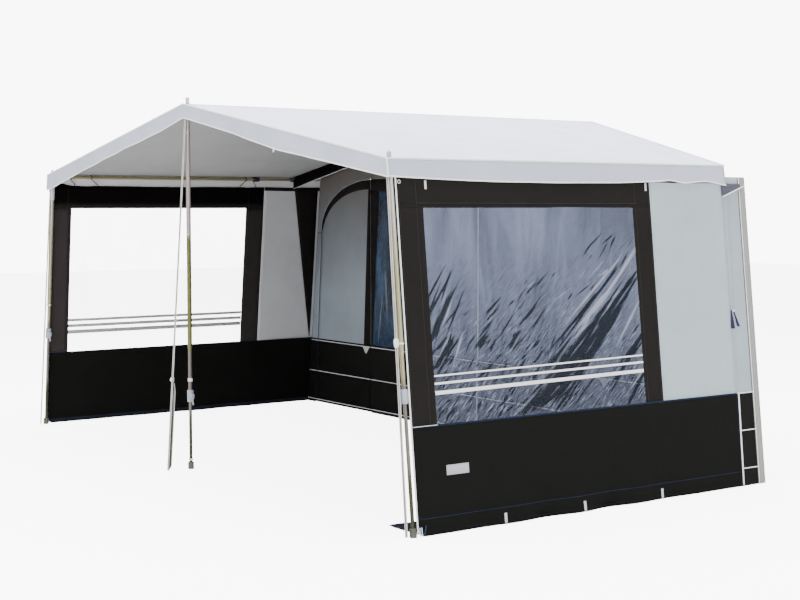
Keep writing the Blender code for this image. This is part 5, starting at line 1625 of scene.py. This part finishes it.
def legPoint(side, height):
    # a spot on a front leg's axis, which leans with the wall at the sides and is upright in
    # the middle
    return wallPoint(side, 0.0, height, -site["legInset"]) if side else np.array((0, -site["middleDepth"], height))


def legAxis(side):
    # a front leg's direction
    return -side * leanSin, 0, leanCos if side else 1


def ringRound(side, height, inner, outer, half):
    edge = min(0.3 * half, 0.002)
    shape = [(inner, -half), (outer - edge, -half), (outer, edge - half)]
    shape += [(radius, -along) for radius, along in reversed(shape)]
    return turned("ring", shape, legPoint(side, height), legAxis(side))


buttons, facing = [], np.array(legFittings["facing"])
for side, radius, height in legFittings["buttons"]:
    spot = legPoint(side, height) + (radius - legFittings["sunk"]) * facing
    buttons.append(turned("button", legFittings["dome"], spot, facing))
trim("poleButtons", buttons, whiteNylon, "grey_plastic")
for name, (*ring, finish, slot, body) in legRings.items():
    trim(name, [ringRound(*ring)], finish, slot, body)
for name, side in sides:
    height = legFittings["clip"][name]
    parts = [ringRound(side, height, *legFittings["clipRing"])]
    if side > 0:
        depth = strap["seat"] - (1 - height / strap["cornerTop"]) * (strap["cornerReach"] + strap["seat"])
        spot = wallPoint(side, depth, height + legFittings["toggleAbove"], -site["legInset"])
        parts.append(turned("toggle", legFittings["toggle"], spot, legAxis(side), 16))
    trim(f"{name}CordClip", parts, whiteNylon, "grey_plastic")
print("fittings made")

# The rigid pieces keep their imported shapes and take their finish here
for node, piece in frame["nodes"].items():
    if piece.hide_render:
        continue
    record = next(part for part in frame["record"]["subparts"] if part["node"] == node)
    finish = {"steel": steelTube, "grey_plastic": greyNylon}[record["material_slot"]]
    for ending, own in (
        ("eave_pole", eaveTube), ("eave_clamp", darkNylon), ("foot", footNylon),
        ("centre_upper_pole", centreTube), ("centre_lower_pole", centreTube),
    ):
        finish = own if node.endswith(ending) else finish
    for place in piece.material_slots:
        place.material = finish
print("rigid pieces finished")

# Floor, light and camera
floorLook = dict(half=30, low=-0.001, colour=(0.93, 0.93, 0.93), glow=6.5)
floorMesh = bpy.data.meshes.new("floor")
corners = ((-1, -1), (1, -1), (1, 1), (-1, 1))
points = [(floorLook["half"] * x, floorLook["half"] * y, floorLook["low"]) for x, y in corners]
floorMesh.from_pydata(points, [], [(0, 1, 2, 3)])
floor = bpy.data.objects.new("floor", floorMesh)
bpy.context.scene.collection.objects.link(floor)
floorFinish, tree, shader = newFinish("floorFinish", floorLook["colour"], 0.9, specular=0.1)[:3]
# the floor is a little brighter to the eye than the light it gives the awning
shader.inputs["Emission Color"].default_value = (1, 1, 1, 1)
eye = tree.nodes.new("ShaderNodeLightPath").outputs["Is Camera Ray"]
tree.links.new(work(tree, "MULTIPLY", eye, floorLook["glow"]), shader.inputs["Emission Strength"])
floor.data.materials.append(floorFinish)

lamps = dict(
    key=((3.5, -9.0, 7.5), (0.0, 0.0, 1.0), 6.0, 800.0),
    fill=((10.0, 1.5, 5.0), (0.0, 0.0, 1.2), 6.0, 350.0),
    top=((0.0, 0.0, 9.0), (0.0, 0.0, 0.0), 9.0, 2200.0),
)
for name, (spot, aim, size, power) in lamps.items():
    light = bpy.data.lights.new(name, "AREA")
    light.size = size
    light.energy = power
    lamp = bpy.data.objects.new(name, light)
    lamp.location = spot
    lamp.rotation_euler = (Vector(aim) - Vector(spot)).to_track_quat("-Z", "Y").to_euler()
    bpy.context.scene.collection.objects.link(lamp)

# the backdrop is a bright white to the eye, and lights the awning softly
backdrop = dict(seen=9.0, light=0.85)
world = bpy.data.worlds.new("studio")
world.use_nodes = True
tree = world.node_tree
tree.nodes["Background"].inputs["Color"].default_value = (1, 1, 1, 1)
eye = tree.nodes.new("ShaderNodeLightPath").outputs["Is Camera Ray"]
strength = work(tree, "MULTIPLY_ADD", eye, backdrop["seen"] - backdrop["light"], backdrop["light"])
tree.links.new(strength, tree.nodes["Background"].inputs["Strength"])
bpy.context.scene.world = world

view = dict(eye=(8.824, -6.2065, 1.733), leftOfBack=54.86, up=-3.53, roll=-0.07, focal=1480.7, picture=800)
lens = bpy.data.cameras.new("camera")
lens.sensor_width = 36
lens.lens = view["focal"] / view["picture"] * lens.sensor_width
lens.clip_end = 200
camera = bpy.data.objects.new("camera", lens)
camera.matrix_world = (
    Matrix.Translation(view["eye"])
    @ Matrix.Rotation(math.radians(view["leftOfBack"]), 4, "Z")
    @ Matrix.Rotation(math.radians(90 + view["up"]), 4, "X")
    @ Matrix.Rotation(math.radians(view["roll"]), 4, "Z")
)
bpy.context.scene.collection.objects.link(camera)
bpy.context.scene.camera = camera
print("stage made")

bpy.context.view_layer.update()
